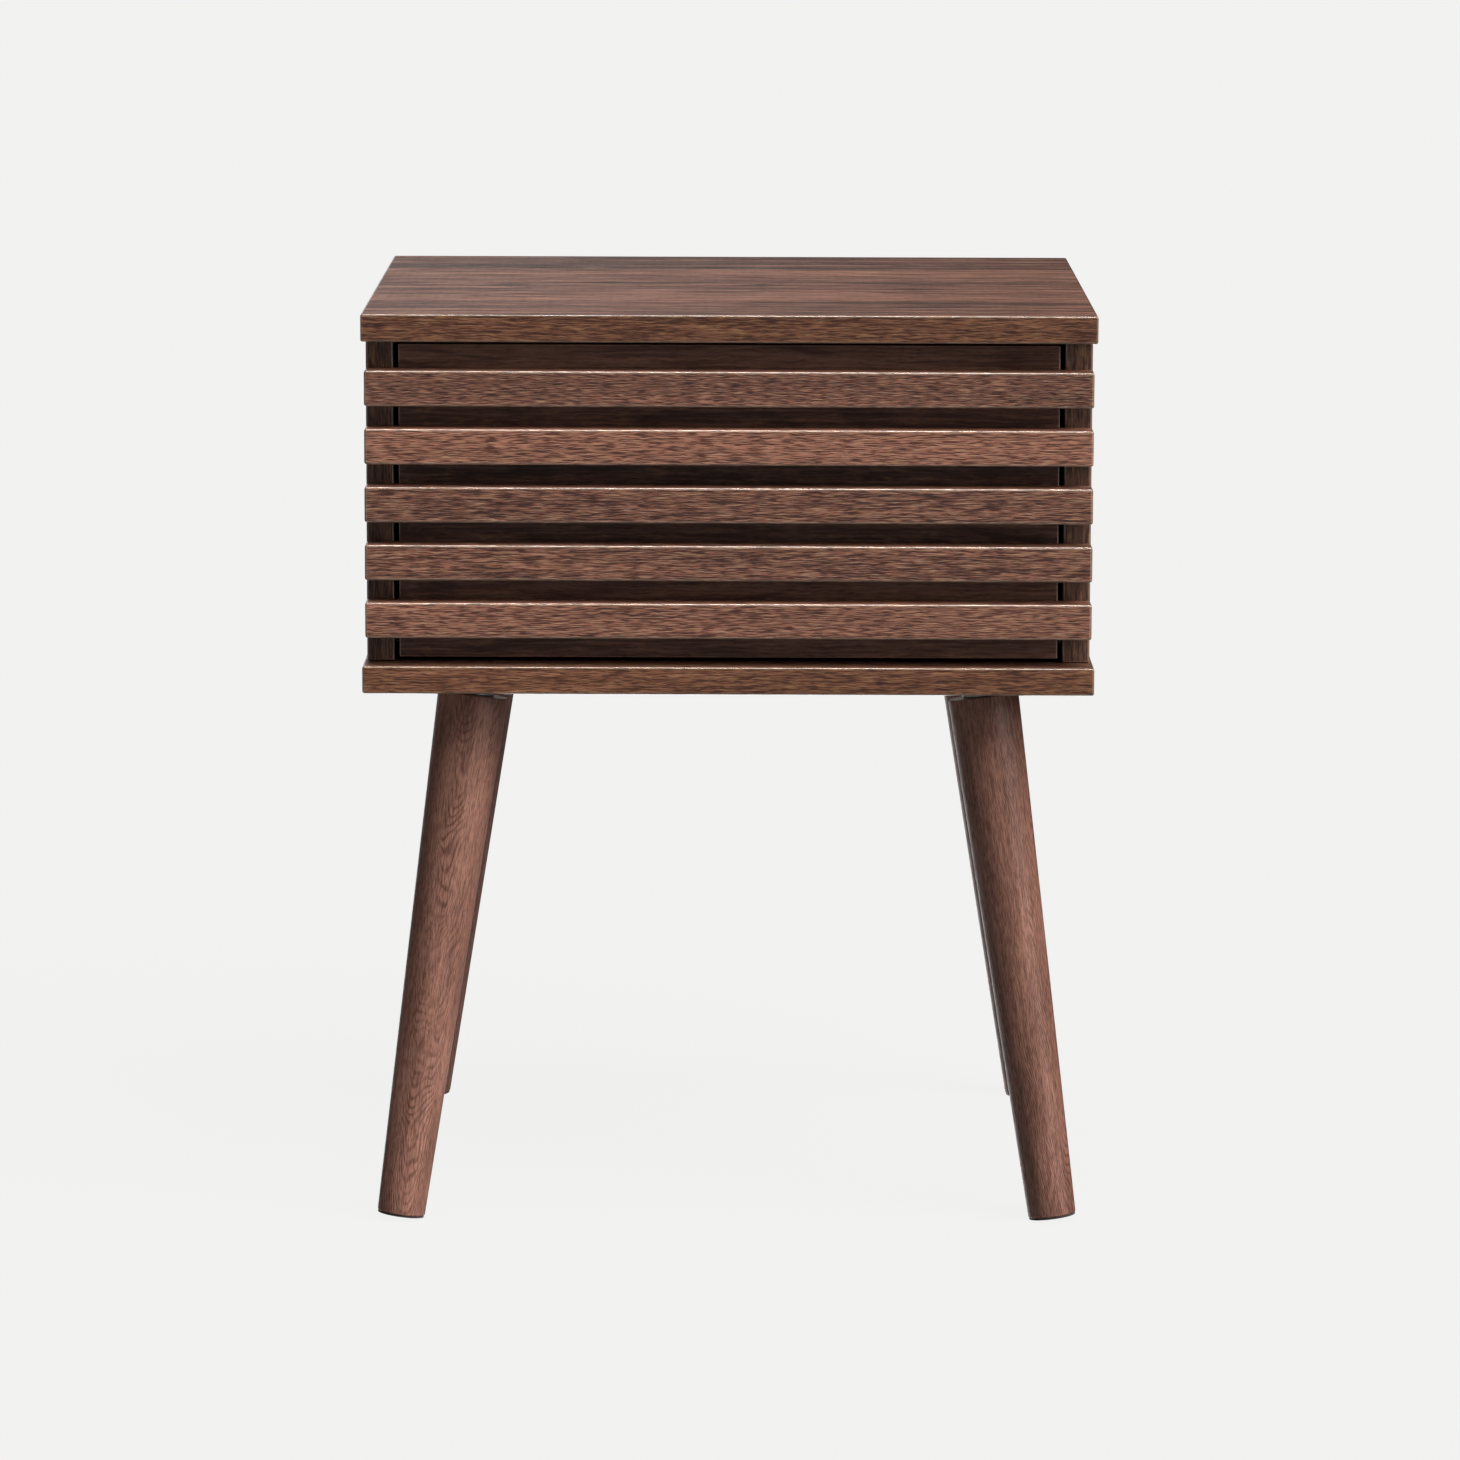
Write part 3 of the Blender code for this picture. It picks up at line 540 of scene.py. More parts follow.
# How every other finish is made, from its name.
OTHER_FINISHES = {
    "Birch face": lambda name, wood: make_birch(name, wood, edge=False),
    "Birch edge": lambda name, wood: make_birch(name, wood, edge=True),
    "Hardboard": lambda name, wood: make_hardboard(
        name, pale=(0.172, 0.098, 0.058), warm=(0.198, 0.116, 0.070), dark=(0.085, 0.048, 0.029)
    ),
    "Zinc": lambda name, wood: make_metal(
        name, (0.60, 0.60, 0.58), (0.42, 0.42, 0.41), metallic=1.0, roughness=0.30, depth=0.00002
    ),
    "Rail coat": lambda name, wood: make_metal(
        name, (0.44, 0.44, 0.42), (0.38, 0.38, 0.36), metallic=0.0, roughness=0.42, depth=0.00004
    ),
    "Nylon": lambda name, wood: make_moulded(
        name, (0.58, 0.57, 0.53), roughness=0.42, cell=0.0008, depth=0.00003, sheen=0.0
    ),
    "Pad felt": lambda name, wood: make_moulded(
        name, (0.020, 0.016, 0.014), roughness=0.90, cell=0.0005, depth=0.0002, sheen=0.3
    ),
}


def finish(name):
    """The material with this name, made when it is first asked for."""
    wood = bpy.context.scene.side_table.wood
    made = bpy.data.materials.get(name)
    if made:
        return made
    if name in WALNUTS:
        return make_walnut(name, wood, SimpleNamespace(**{**VENEER, **WALNUTS[name]}))
    return OTHER_FINISHES[name](name, wood)


# Shapes


def nodes_named(start):
    """The CAD nodes whose names start so, in order."""
    return sorted(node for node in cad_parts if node.startswith(start))


def link(name, mesh):
    piece = bpy.data.objects.new(name, mesh)
    bpy.context.scene.collection.objects.link(piece)
    return piece


def smooth(piece, angle=SOFT_EDGE_ANGLE):
    """Smooth faces, but sharp where they meet at more than the angle, and flat where large."""
    piece.data.shade_smooth()
    piece.data.set_sharp_from_angle(angle=angle)
    weigh = piece.modifiers.new("Flat faces", "WEIGHTED_NORMAL")
    weigh.keep_sharp = True
    return piece


def round_edges(piece, radius, segments):
    bevel = piece.modifiers.new("Rounded edges", "BEVEL")
    bevel.width = radius
    bevel.segments = segments
    bevel.limit_method = "ANGLE"
    bevel.angle_limit = BEVEL_ANGLE
    bevel.use_clamp_overlap = True
    return piece


def apply_modifiers(piece):
    """Turns the piece into the plain mesh that its modifiers make."""
    shown = piece.evaluated_get(bpy.context.evaluated_depsgraph_get())
    mesh = bpy.data.meshes.new_from_object(shown)
    piece.modifiers.clear()
    piece.data = mesh
    mesh.name = piece.name
    return piece


def merge(source, target, clean):
    """Writes the source mesh into the target, its doubles merged and then cleaned by clean."""
    shape = bmesh.new()
    shape.from_mesh(source)
    bmesh.ops.remove_doubles(shape, verts=shape.verts, dist=MERGE_DISTANCE)
    clean(shape)
    shape.to_mesh(target)
    shape.free()


def join_triangles(shape):
    bmesh.ops.dissolve_limit(
        shape, angle_limit=FLAT_ANGLE, verts=shape.verts, edges=shape.edges, delimit={"NORMAL"}
    )


def drop_slivers(shape):
    bmesh.ops.dissolve_degenerate(shape, edges=shape.edges, dist=MERGE_DISTANCE)


def dress(piece, body, slot, *finishes):
    """Finishes and body of a finished piece. slot is not used."""
    piece.data.materials.clear()
    for name in finishes:
        piece.data.materials.append(finish(name))
    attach(piece, body)
    return piece


def refine(node, body, slot, *finishes, rounding=0.0, segments=None):
    """A finer copy of a CAD node that stands for it, with its edges rounded where asked."""
    mesh = bpy.data.meshes.new(f"{node}_fine")
    merge(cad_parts[node].data, mesh, join_triangles)
    piece = link(mesh.name, mesh)
    if rounding:
        fine_segments = bpy.context.scene.side_table.shape.fine_segments
        round_edges(piece, rounding, segments or fine_segments)
    dress(apply_modifiers(smooth(piece)), body, slot, *finishes)
    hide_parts(node)
    return piece


def lay_grain(
    piece, along, sheet=0.0, rounding=0.0, wrapped=False, tone=0.0, edge_slot=0, plies=False
):
    """Writes each corner's place in its veneer: a sheet for each face, or one foil wrapped round.

    A board's narrow faces carry an edge band, whose grain runs along the edge. edge_slot is
    their material's index. With plies, the grain's depth is the height in the board instead of
    a sheet's number. sheet and tone are numbers, or functions of a face's centre.
    """
    mesh = piece.data
    points = np.array([vertex.co for vertex in mesh.vertices])
    low = points.min(0)
    span = points.max(0) - low
    thin = int(np.argmin(span))
    grain = mesh.attributes.new(GRAIN, "FLOAT_VECTOR", "CORNER").data
    tones = mesh.attributes.new(TONE, "FLOAT", "FACE").data
    polish_and_highlights = mesh.attributes.new(POLISH_AND_HIGHLIGHT, "FLOAT", "FACE").data
    for polygon in mesh.polygons:
        facing = max((X, Y, Z), key=lambda axis: abs(polygon.normal[axis]))
        others = [axis for axis in (X, Y, Z) if axis != facing]
        run = along if facing != along else max(others, key=lambda axis: span[axis])
        rise = next(axis for axis in others if axis != run)
        side = 1 if polygon.normal[facing] > 0 else 0
        number = sheet(polygon.center) if callable(sheet) else sheet
        tones[polygon.index].value = tone(polygon.center) if callable(tone) else tone
        polish_and_highlights[polygon.index].value = float(abs(polygon.normal[facing]) < ROUND_COSINE)
        if facing != thin:
            polygon.material_index = edge_slot
        for corner in polygon.loop_indices:
            place = mesh.vertices[mesh.loops[corner].vertex_index].co
            across = place[rise]
            if wrapped and facing == Z and run == X:
                folded = place[Y] - low[Y] - ARC_SHIFT * rounding
                across = place[Z] + (folded if side else -folded)
            face = 0 if wrapped and run == along else 3 * facing + side + 1
            depth = place[thin] - low[thin] if plies else SHEET_STEP * (number + face)
            grain[corner].vector = (place[run], across, depth)


def lay_timber(leg, turn, start, tone):
    """Writes where each corner of an upright leg lies in the timber that it was turned from."""
    mesh = leg.data
    grain = mesh.attributes.new(GRAIN, "FLOAT_VECTOR", "CORNER").data
    tones = mesh.attributes.new(TONE, "FLOAT", "FACE").data
    for face_tone in tones:
        face_tone.value = tone
    for loop in mesh.loops:
        place = mesh.vertices[loop.vertex_index].co
        side = place.x * math.cos(turn) + place.y * math.sin(turn)
        depth = place.y * math.cos(turn) - place.x * math.sin(turn)
        grain[loop.index].vector = (start - place.z, side, depth)


def turned(name, profile, steps):
    """A piece turned about Z from its (radius, height) profile, listed from the top down."""
    mesh = bpy.data.meshes.new(name)
    points = [(radius, 0.0, height) for radius, height in profile]
    mesh.from_pydata(points, [(index, index + 1) for index in range(len(points) - 1)], [])
    piece = link(name, mesh)
    turn = piece.modifiers.new("Turned", "SCREW")
    turn.steps = turn.render_steps = steps
    turn.use_merge_vertices = True
    turn.merge_threshold = MERGE_DISTANCE
    turn.use_smooth_shade = True
    return apply_modifiers(piece)


def rounded_profile(bar, rounding, rings, segments):
    """The profile of a tapered bar from height 0 down to its length, with rounded rims."""
    upper, lower = bar.upper - rounding, bar.lower - rounding
    quarter = [math.radians(90 * step / segments) for step in range(segments + 1)]
    points = [(0.0, 0.0)]
    points += [
        (upper + rounding * math.sin(angle), rounding * math.cos(angle) - rounding)
        for angle in quarter
    ]
    straight = bar.length - 2 * rounding
    points += [
        (bar.upper + (bar.lower - bar.upper) * ring / rings, -rounding - straight * ring / rings)
        for ring in range(1, rings)
    ]
    points += [
        (lower + rounding * math.cos(angle), rounding - bar.length - rounding * math.sin(angle))
        for angle in quarter
    ]
    return points + [(0.0, -bar.length)]


def measure_bar(node):
    """A turned, tapered CAD node: the top of its axis, its way down, length and end radii."""
    points = np.unique(
        np.round([vertex.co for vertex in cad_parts[node].data.vertices], 6), axis=0
    )
    centre = (points.min(0) + points.max(0)) / 2
    for _ in range(3):  # each pass brings the centre nearer to the axis
        centred = points - centre
        way = np.linalg.svd(centred, full_matrices=False)[2][0]
        reach = centred @ way
        centre = np.average([points[reach > 0].mean(0), points[reach <= 0].mean(0)], axis=0)
    way = -way if way[Z] > 0 else way
    reach = (points - centre) @ way
    radii = np.linalg.norm(points - centre - np.outer(reach, way), axis=1)
    top = centre + way * reach.min()
    length = reach.max() - reach.min()
    share = (reach - reach.min()) / length
    return SimpleNamespace(
        top=Vector(top), way=Vector(way), length=length,
        upper=radii[share < 0.5].max(), lower=radii[share > 0.97].max(),
    )


def stand_along(piece, bar):
    """Moves a mesh turned about Z onto the bar's axis. Its own -Y keeps facing the front."""
    up = -bar.way
    side = up.cross(Vector((0, -1, 0))).normalized()
    back = up.cross(side).normalized()
    turn = Matrix((side, back, up)).transposed().to_4x4()
    piece.data.transform(Matrix.Translation(bar.top) @ turn)


# Geometry node trees


def make_geometry_tree(name, sizes):
    """A tree with a geometry in and out and these named inputs: its Nodes and its Group Input."""
    tree = bpy.data.node_groups.new(name, "GeometryNodeTree")
    kinds = {int: "NodeSocketInt", float: "NodeSocketFloat", bool: "NodeSocketBool"}
    for way in ("INPUT", "OUTPUT"):
        tree.interface.new_socket("Geometry", in_out=way, socket_type="NodeSocketGeometry")
    for key, value in sizes.items():
        socket = tree.interface.new_socket(key, in_out="INPUT", socket_type=kinds[type(value)])
        socket.default_value = value
    tree.interface.new_socket("Material", in_out="INPUT", socket_type="NodeSocketMaterial")
    nodes = Nodes(tree)
    return nodes, nodes.add("NodeGroupInput")


def end_tree(nodes, geometry, given):
    """Ends a tree with real geometry in the given material."""
    realized = nodes.add("GeometryNodeRealizeInstances", None, {0: geometry})
    painted = nodes.add(
        "GeometryNodeSetMaterial", None,
        {"Geometry": realized, "Material": given.output("Material")},
    )
    nodes.add("NodeGroupOutput", None, {0: painted})
    return nodes.tree


def make_slat_tree(name):
    """Bars one under another, from the highest down."""
    nodes, given = make_geometry_tree(
        name, {"Length": 0.446, "Depth": 0.020, "Height": 0.022, "Pitch": 0.0358, "Count": 5}
    )
    size = nodes.vector(given.output("Length"), given.output("Depth"), given.output("Height"))
    bar = nodes.add("GeometryNodeMeshCube", None, {"Size": size}, "Mesh")
    step = nodes.vector(0.0, 0.0, -given.output("Pitch"))
    places = nodes.add(
        "GeometryNodeMeshLine", None, {"Count": given.output("Count"), "Offset": step}
    )
    bars = nodes.add("GeometryNodeInstanceOnPoints", None, {"Points": places, "Instance": bar})
    return end_tree(nodes, bars, given)


def make_screw_tree(name, steps=32, dome_steps=12):
    """A countersunk screw on each point of the mesh, its head facing the point's own way."""
    nodes, given = make_geometry_tree(
        name,
        {
            "Head radius": 0.0036, "Head height": 0.0020, "Shank radius": 0.0017, "Length": 0.012,
            "Dome": 0.0003, "Recess": 0.0018, "Recess depth": 0.0012, "Hexagonal": False,
            "Turn seed": 1,
        },
    )
    # The dome and the shank are a little narrower than the cone between them, and one wing of the
    # cross is a little shallower than the other, so that no two faces lie on each other.
    dome_share, shank_share, wing_width = 0.985, 0.98, 0.42
    wing_depths = (2.0, 1.9)
    size = given.output

    def mesh(kind, inputs):
        return nodes.add(f"GeometryNodeMesh{kind}", None, inputs, "Mesh")

    def lowered(geometry, depth):
        return nodes.add(
            "GeometryNodeTransform", None,
            {"Geometry": geometry, "Translation": nodes.vector(0.0, 0.0, -depth)},
        )

    def boolean(operation, inputs):
        return nodes.add(
            "GeometryNodeMeshBoolean", {"operation": operation, "solver": "EXACT"}, inputs
        )

    cone = mesh("Cone", {
        "Vertices": steps, "Radius Top": size("Head radius"),
        "Radius Bottom": size("Shank radius"), "Depth": size("Head height"),
    })
    ball = mesh("UVSphere", {
        "Segments": steps, "Rings": dome_steps, "Radius": size("Head radius") * dome_share,
    })
    flat = nodes.vector(1.0, 1.0, size("Dome") / size("Head radius"))
    dome = nodes.add("GeometryNodeTransform", None, {"Geometry": ball, "Scale": flat})
    shank = mesh("Cylinder", {
        "Vertices": steps // 2, "Radius": size("Shank radius") * shank_share,
        "Depth": size("Length"),
    })
    parts = [lowered(cone, size("Head height")), dome, lowered(shank, size("Length") * 0.5)]
    solid = boolean("UNION", {"Mesh 2": parts})

    long, short = size("Recess") * 2.0, size("Recess") * wing_width
    wings = [
        mesh("Cube", {"Size": nodes.vector(*wing, size("Recess depth") * depth)})
        for wing, depth in zip(((long, short), (short, long)), wing_depths)
    ]
    hexagon = mesh("Cylinder", {
        "Vertices": 6, "Radius": size("Recess"), "Depth": size("Recess depth") * 2.0,
    })
    recess = nodes.add(
        "GeometryNodeSwitch", {"input_type": "GEOMETRY"},
        {
            "Switch": size("Hexagonal"), "False": boolean("UNION", {"Mesh 2": wings}),
            "True": hexagon,
        },
    )
    screw = boolean("DIFFERENCE", {"Mesh 1": solid, "Mesh 2": recess})

    facing = nodes.add(
        "GeometryNodeInputNamedAttribute", {"data_type": "FLOAT_VECTOR"}, {"Name": FACING}
    )
    rotation = nodes.add("FunctionNodeAlignRotationToVector", {"axis": "Z"}, {"Vector": facing})
    screws = nodes.add(
        "GeometryNodeInstanceOnPoints", None,
        {"Points": given, "Instance": screw, "Rotation": rotation},
    )
    twist = nodes.add(
        "FunctionNodeRandomValue", {"data_type": "FLOAT"},
        {"Max_001": math.pi / 2, "Seed": size("Turn seed")}, "Value_001",
    )
    twisted = nodes.add(
        "GeometryNodeRotateInstances", None,
        {"Instances": screws, "Rotation": nodes.vector(0.0, 0.0, twist), "Local Space": True},
    )
    return end_tree(nodes, twisted, given)


TREES = {"Slats": make_slat_tree, "Screws": make_screw_tree}


def run_tree(piece, name, material, **sizes):
    """Runs a geometry tree on the piece and keeps the plain mesh. Sizes are named as its inputs."""
    tree = bpy.data.node_groups.get(name) or TREES[name](name)
    modifier = piece.modifiers.new(name, "NODES")
    modifier.node_group = tree
    values = {key.replace("_", " ").capitalize(): value for key, value in sizes.items()}
    values["Material"] = material
    for item in tree.interface.items_tree:
        if item.item_type == "SOCKET" and item.in_out == "INPUT" and item.name in values:
            modifier[item.identifier] = values.pop(item.name)
    if values:
        raise ValueError(f"{name} has no input named {sorted(values)}")
    return apply_modifiers(piece)


def set_screws(name, body, places, facing, nodes=(), **sizes):
    """Screws at these places, all facing one way, as one piece that stands for the nodes given."""
    mesh = bpy.data.meshes.new(name)
    mesh.from_pydata([tuple(place) for place in places], [], [])
    for way in mesh.attributes.new(FACING, "FLOAT_VECTOR", "POINT").data:
        way.vector = facing
    piece = run_tree(link(name, mesh), "Screws", finish("Zinc"), **sizes)
    merge(piece.data, piece.data, drop_slivers)
    apply_modifiers(smooth(piece, SCREW_EDGE_ANGLE))
    dress(piece, body, "zinc_steel", "Zinc")
    if nodes:
        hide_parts(*nodes)


def between(low, high, share):
    """The place that is this share of the way from low to high."""
    return low + (high - low) * share


# Operators


class SIDETABLE_OT_make_cabinet(bpy.types.Operator):
    """Make the cabinet's walnut boards and its hardboard back"""

    bl_idname = "side_table.make_cabinet"
    bl_label = "Make Cabinet"

    def execute(self, context):
        # Which way each board's grain runs, its finishes on faces and edges, and how light it is.
        boards = {
            "top_panel": (X, "Walnut top", "Walnut edge", 0.00),
            "bottom_panel": (X, "Walnut board", "Walnut edge", 0.07),
            # The side panels' edges take a darker, greyer walnut: painted shade for the gaps
            # between the slats.
            "side_panel_left": (Y, "Walnut board", "Walnut side edge", 0.00),
            "side_panel_right": (Y, "Walnut board", "Walnut side edge", 0.00),
        }
        for number, (node, (along, face, edge, tone)) in enumerate(boards.items()):
            board = refine(node, "cabinet", "board_walnut", face, edge)
            sheet = CABINET_SHEET + BOARD_SHEETS * number
            lay_grain(board, along, sheet=sheet, edge_slot=1, tone=tone)
        rounding = context.scene.side_table.shape.back_rounding
        refine("back_panel", "cabinet", "hardboard", "Hardboard", rounding=rounding)
        return {"FINISHED"}


class SIDETABLE_OT_make_drawer_front(bpy.types.Operator):
    """Make the drawer's front panel and the slats across it"""

    bl_idname = "side_table.make_drawer_front"
    bl_label = "Make Drawer Front"

    def execute(self, context):
        shape = context.scene.side_table.shape
        panel = refine("drawer_front_panel", "drawer", "board_walnut", "Walnut panel")
        lay_grain(panel, X, sheet=PANEL_SHEET)

        slats = nodes_named("drawer_slat_")
        low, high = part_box(slats[0])
        pitch = low.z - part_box(slats[1])[0].z
        piece = run_tree(
            link("drawer_slats", bpy.data.meshes.new("drawer_slats")), "Slats",
            finish("Walnut slat"), length=high.x - low.x, depth=high.y - low.y,
            height=high.z - low.z, pitch=pitch, count=len(slats),
        )
        piece.data.transform(Matrix.Translation((low + high) / 2))
        apply_modifiers(round_edges(piece, shape.slat_rounding, shape.edge_segments))
        dress(apply_modifiers(smooth(piece)), "drawer", "slat_walnut", "Walnut slat")

        def slat_number(centre):
            return round((high.z - centre.z) // pitch)

        tones = (0.00, 0.30, 0.01, -0.01, 0.20)
        lay_grain(
            piece, X, rounding=shape.slat_rounding, wrapped=True,
            sheet=lambda centre: SLAT_SHEET + SLAT_SHEETS * slat_number(centre),
            tone=lambda centre: tones[slat_number(centre) % len(tones)],
        )
        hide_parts(*slats)
        return {"FINISHED"}


class SIDETABLE_OT_make_drawer_box(bpy.types.Operator):
    """Make the drawer's plywood box"""

    bl_idname = "side_table.make_drawer_box"
    bl_label = "Make Drawer Box"

    def execute(self, context):
        boards = {
            "drawer_side_left": Y, "drawer_side_right": Y, "drawer_back": X, "drawer_bottom": X,
        }
        for node, along in boards.items():
            board = refine(node, "drawer", "birch_ply", "Birch face", "Birch edge")
            lay_grain(board, along, edge_slot=1, plies=True)
        return {"FINISHED"}


class SIDETABLE_OT_make_legs(bpy.types.Operator):
    """Make the four turned legs and the pads under them"""

    bl_idname = "side_table.make_legs"
    bl_label = "Make Legs"

    def execute(self, context):
        shape = context.scene.side_table.shape
        # How each leg was cut from its timber: how far it is turned, where it starts, and its tone.
        cuts = {
            "front_left": (0, 0.00, 0.10), "front_right": (78, 0.50, 0.00),
            "back_left": (200, 1.10, 0.05), "back_right": (115, 1.70, -0.04),
        }
        for corner, (degrees, start, tone) in cuts.items():
            node = f"leg_{corner}"
            bar = measure_bar(node)
            profile = rounded_profile(bar, shape.leg_rounding, shape.leg_rings, shape.edge_segments)
            leg = turned(f"{node}_fine", profile, shape.turning_steps)
            lay_timber(leg, math.radians(degrees), start, tone)
            stand_along(leg, bar)
            dress(leg, "cabinet", "leg_walnut", "Walnut leg")
            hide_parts(node)
            refine(
                f"foot_pad_{corner}", "cabinet", "pad_felt", "Pad felt",
                rounding=shape.pad_rounding, segments=shape.pad_segments,
            )
        return {"FINISHED"}


class SIDETABLE_OT_make_slides(bpy.types.Operator):
    """Make the drawer's rails, rollers and roller pins"""

    bl_idname = "side_table.make_slides"
    bl_label = "Make Slides"

    def execute(self, context):
        shape = context.scene.side_table.shape
        for side in SIDES:
            for body in ("cabinet", "drawer"):
                rail = f"{body}_rail_{side}"
                refine(rail, body, "rail_steel", "Rail coat", rounding=shape.metal_rounding)
            for end, pin_body in (("front", "cabinet"), ("rear", "drawer")):
                roller, pin = f"{end}_roller_{side}", f"{end}_roller_pin_{side}"
                refine(roller, roller, "roller_nylon", "Nylon", rounding=shape.roller_rounding)
                refine(pin, pin_body, "zinc_steel", "Zinc", rounding=shape.pin_rounding)
        return {"FINISHED"}


class SIDETABLE_OT_make_fittings(bpy.types.Operator):
    """Make the legs' plates and bolts, and set the screws and connectors"""

    bl_idname = "side_table.make_fittings"
    bl_label = "Make Fittings"

    def execute(self, context):
        rounding = context.scene.side_table.shape.metal_rounding
        for corner in CORNERS:
            for node in (f"mounting_plate_{corner}", f"hanger_bolt_{corner}"):
                refine(node, "cabinet", "zinc_steel", "Zinc", rounding=rounding)
        self.set_plate_screws()
        self.set_drawer_screws()
        self.set_connectors()
        return {"FINISHED"}

    def set_plate_screws(self):
        """The screws that the frame holds, with their recesses."""
        nodes = nodes_named("plate_screw_")
        boxes = [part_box(node) for node in nodes]
        places = [((low.x + high.x) / 2, (low.y + high.y) / 2, low.z) for low, high in boxes]
        low, high = boxes[0]
        set_screws(
            "plate_screws", "cabinet", places, (0, 0, -1), nodes=nodes,
            head_radius=(high.x - low.x) / 2, length=high.z - low.z, dome=0.0002,
        )

    def set_drawer_screws(self):
        """Screws from inside the drawer into the slats, and through its sides into its back."""
        panel_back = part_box("drawer_front_panel")[1].y
        inner, outer = (corner.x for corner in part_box("drawer_side_right"))
        reach, rises = 0.72, (0.35, 0.82)  # of the drawer's half width, of its back's height
        x = inner * reach
        places = []
        for low, high in (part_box(node) for node in nodes_named("drawer_slat_")):
            if low.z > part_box("drawer_bottom")[1].z:
                z = (low.z + high.z) / 2
                places += [(way * x, panel_back, z) for way in SIDES.values()]
        set_screws("slat_screws", "drawer", places, (0, 1, 0), length=0.020, dome=0.0002)

        low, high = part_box("drawer_back")
        y = (low.y + high.y) / 2
        for side, way in SIDES.items():
            places = [(way * outer, y, between(low.z, high.z, share)) for share in rises]
            set_screws(
                f"drawer_corner_screws_{side}", "drawer", places, (way, 0, 0), length=0.030,
                dome=0.0002,
            )

    def set_connectors(self):
        """Socket-head connectors under the bottom board, and cam locks inside the side panels."""
        low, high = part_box("side_panel_right")
        x, z = (low.x + high.x) / 2, high.z - 0.024  # the locks lie 24 mm under the top board
        connector_shares, lock_shares = (0.14, 0.80), (0.16, 0.80)  # of the side panels' depth
        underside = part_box("bottom_panel")[0].z
        places = [
            (way * x, between(low.y, high.y, share), underside)
            for way in SIDES.values() for share in connector_shares
        ]
        set_screws(
            "bottom_connectors", "cabinet", places, (0, 0, -1), length=0.045,
            head_radius=0.0048, head_height=0.0045, shank_radius=0.0024, recess=0.0024,
            recess_depth=0.0026, dome=0.0001, hexagonal=True,
        )
        for side, way in SIDES.items():
            places = [(way * low.x, between(low.y, high.y, share), z) for share in lock_shares]
            set_screws(
                f"cam_locks_{side}", "cabinet", places, (-way, 0, 0), length=0.011,
                head_radius=0.0074, head_height=0.0100, shank_radius=0.0070, recess=0.0034,
                recess_depth=0.0018, dome=0.00015,
            )


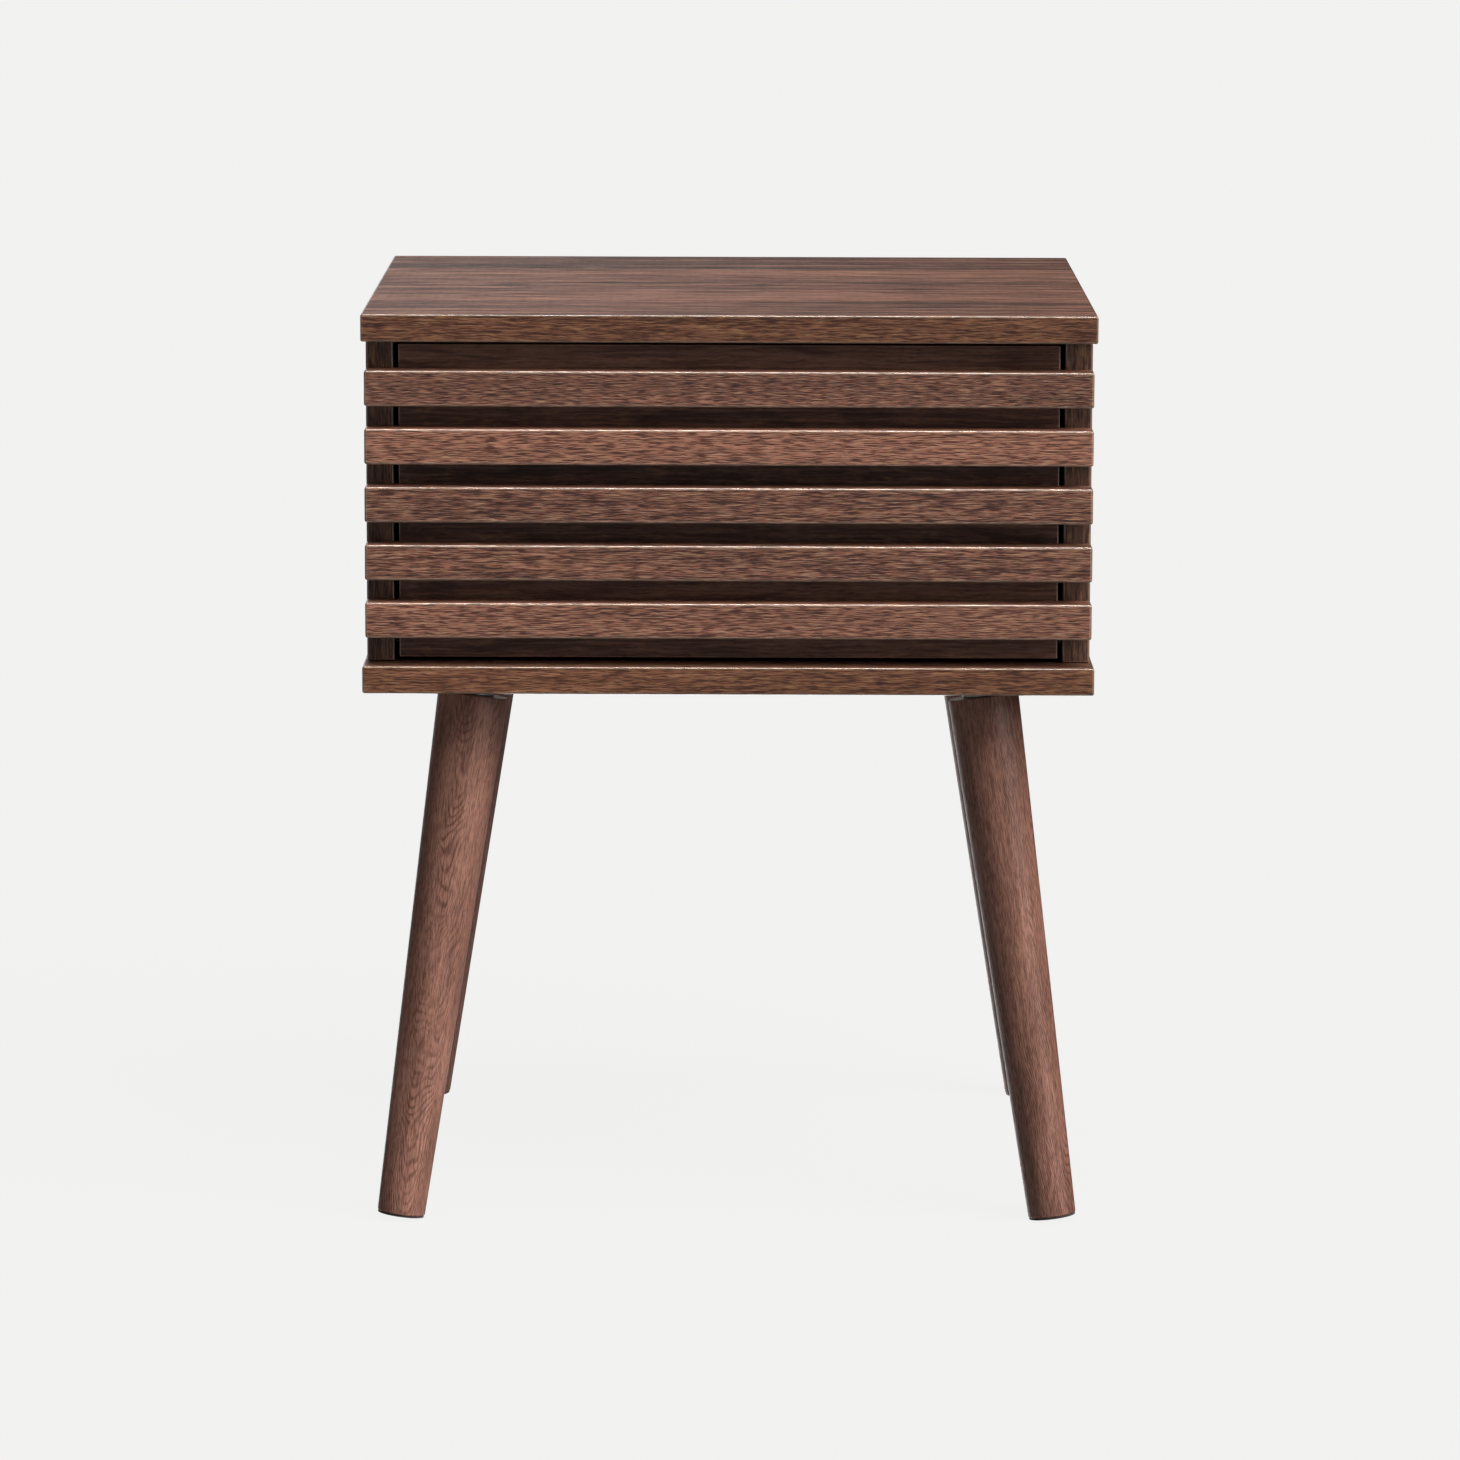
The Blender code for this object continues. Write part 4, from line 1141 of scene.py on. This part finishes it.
class SIDETABLE_OT_set_stage(bpy.types.Operator):
    """Set the floor, the lights and the camera"""

    bl_idname = "side_table.set_stage"
    bl_label = "Set Stage"

    def execute(self, context):
        studio = context.scene.side_table.studio
        context.scene.view_settings.view_transform = "Standard"
        self.make_room(context, studio)
        self.make_floor(studio)
        self.make_lights()
        self.make_camera(context, studio)
        return {"FINISHED"}

    def make_room(self, context, studio):
        """A pale room that lights nothing itself."""
        world = bpy.data.worlds.new("Room")
        world.use_nodes = True
        background = world.node_tree.nodes["Background"]
        background.inputs["Color"].default_value = opaque(studio.floor_colour)
        context.scene.world = world
        world.cycles_visibility.diffuse = False
        world.cycles_visibility.glossy = False

    def make_floor(self, studio, half=30.0, drop=0.0002, light=1.6):
        """A pale floor just under the pads, which shines by itself so that shadows stay pale.

        light is how bright the lamps alone would make it if it were white.
        """
        mesh = bpy.data.meshes.new("floor")
        corners = [(-half, -half), (half, -half), (half, half), (-half, half)]
        mesh.from_pydata([(x, y, -drop) for x, y in corners], [], [(0, 1, 2, 3)])
        floor = link("floor", mesh)
        floor.visible_diffuse = floor.visible_glossy = floor.visible_shadow = False
        shade = studio.floor_shadow
        material, nodes, shader = make_finish("Floor", {
            "Roughness": 0.9, "Specular IOR Level": 0.0,
            "Base Color": opaque(scaled_colour(studio.floor_colour, shade / light)),
        })
        glow = nodes.add(
            "ShaderNodeEmission", None,
            {"Color": opaque(studio.floor_colour), "Strength": 1.0 - shade},
        )
        both = nodes.add("ShaderNodeAddShader", None, {0: Wire(nodes, shader.outputs[0]), 1: glow})
        nodes.feed(material.node_tree.nodes["Material Output"].inputs["Surface"], both)
        mesh.materials.append(material)

    def make_lights(self):
        """Broad soft lights: the way each shines, how wide it is in degrees and how strong."""
        lights = {
            "key": ((-0.55, 0.55, -1.10), 34, 3.3),
            "side": ((-1.00, 0.45, -0.60), 40, 1.7),
            "low_side": ((-1.00, 0.80, -0.35), 30, 0.40),
            "overhead": ((0.00, 0.12, -1.00), 12, 1.2),
            "sheen": ((0.45, -1.00, -0.35), 50, 0.37),
            "bounce": ((0.00, 0.20, 1.00), 170, 0.95),
            "back_fill": ((0.20, -1.00, 0.65), 50, 1.2),
        }
        for name, (way, width, strength) in lights.items():
            lamp = bpy.data.lights.new(name, "SUN")
            lamp.energy = strength
            lamp.angle = math.radians(width)
            link(name, lamp).rotation_euler = Vector(way).to_track_quat("-Z", "Y").to_euler()

    def make_camera(self, context, studio):
        camera = link("camera", bpy.data.cameras.new("camera"))
        camera.data.sensor_width = 36.0
        camera.data.lens = studio.lens
        camera.data.clip_end = 100.0
        camera.matrix_world = (
            Matrix.Translation(studio.camera_place)
            @ Matrix.Rotation(studio.camera_turn, 4, "Z")
            @ Matrix.Rotation(math.pi / 2 - studio.camera_tilt, 4, "X")
            @ Matrix.Rotation(studio.camera_roll, 4, "Z")
        )
        context.scene.camera = camera


class SIDETABLE_PT_panel(bpy.types.Panel):
    """The side table's sizes, colours and steps"""

    bl_idname = "SIDETABLE_PT_panel"
    bl_label = "Side Table"
    bl_space_type = "VIEW_3D"
    bl_region_type = "UI"
    bl_category = "Side Table"

    def draw(self, context):
        settings = context.scene.side_table
        for group in (settings.wood, settings.shape, settings.studio):
            box = self.layout.box()
            for key in group.bl_rna.properties.keys():
                if key not in ("rna_type", "name"):
                    box.prop(group, key)
        for operator in OPERATORS:
            self.layout.operator(operator.bl_idname)


OPERATORS = (
    SIDETABLE_OT_make_cabinet,
    SIDETABLE_OT_make_drawer_front,
    SIDETABLE_OT_make_drawer_box,
    SIDETABLE_OT_make_legs,
    SIDETABLE_OT_make_slides,
    SIDETABLE_OT_make_fittings,
    SIDETABLE_OT_set_stage,
)
SETTINGS = (WoodSettings, ShapeSettings, StudioSettings, SideTableSettings)
CLASSES = (*SETTINGS, *OPERATORS, SIDETABLE_PT_panel)


def register():
    for cls in CLASSES:
        bpy.utils.register_class(cls)
    bpy.types.Scene.side_table = bpy.props.PointerProperty(type=SideTableSettings)


def unregister():
    del bpy.types.Scene.side_table
    for cls in reversed(CLASSES):
        bpy.utils.unregister_class(cls)


def main():
    register()
    for operator in OPERATORS:
        group, name = operator.bl_idname.split(".")
        getattr(getattr(bpy.ops, group), name)()


if __name__ == "__main__":
    main()
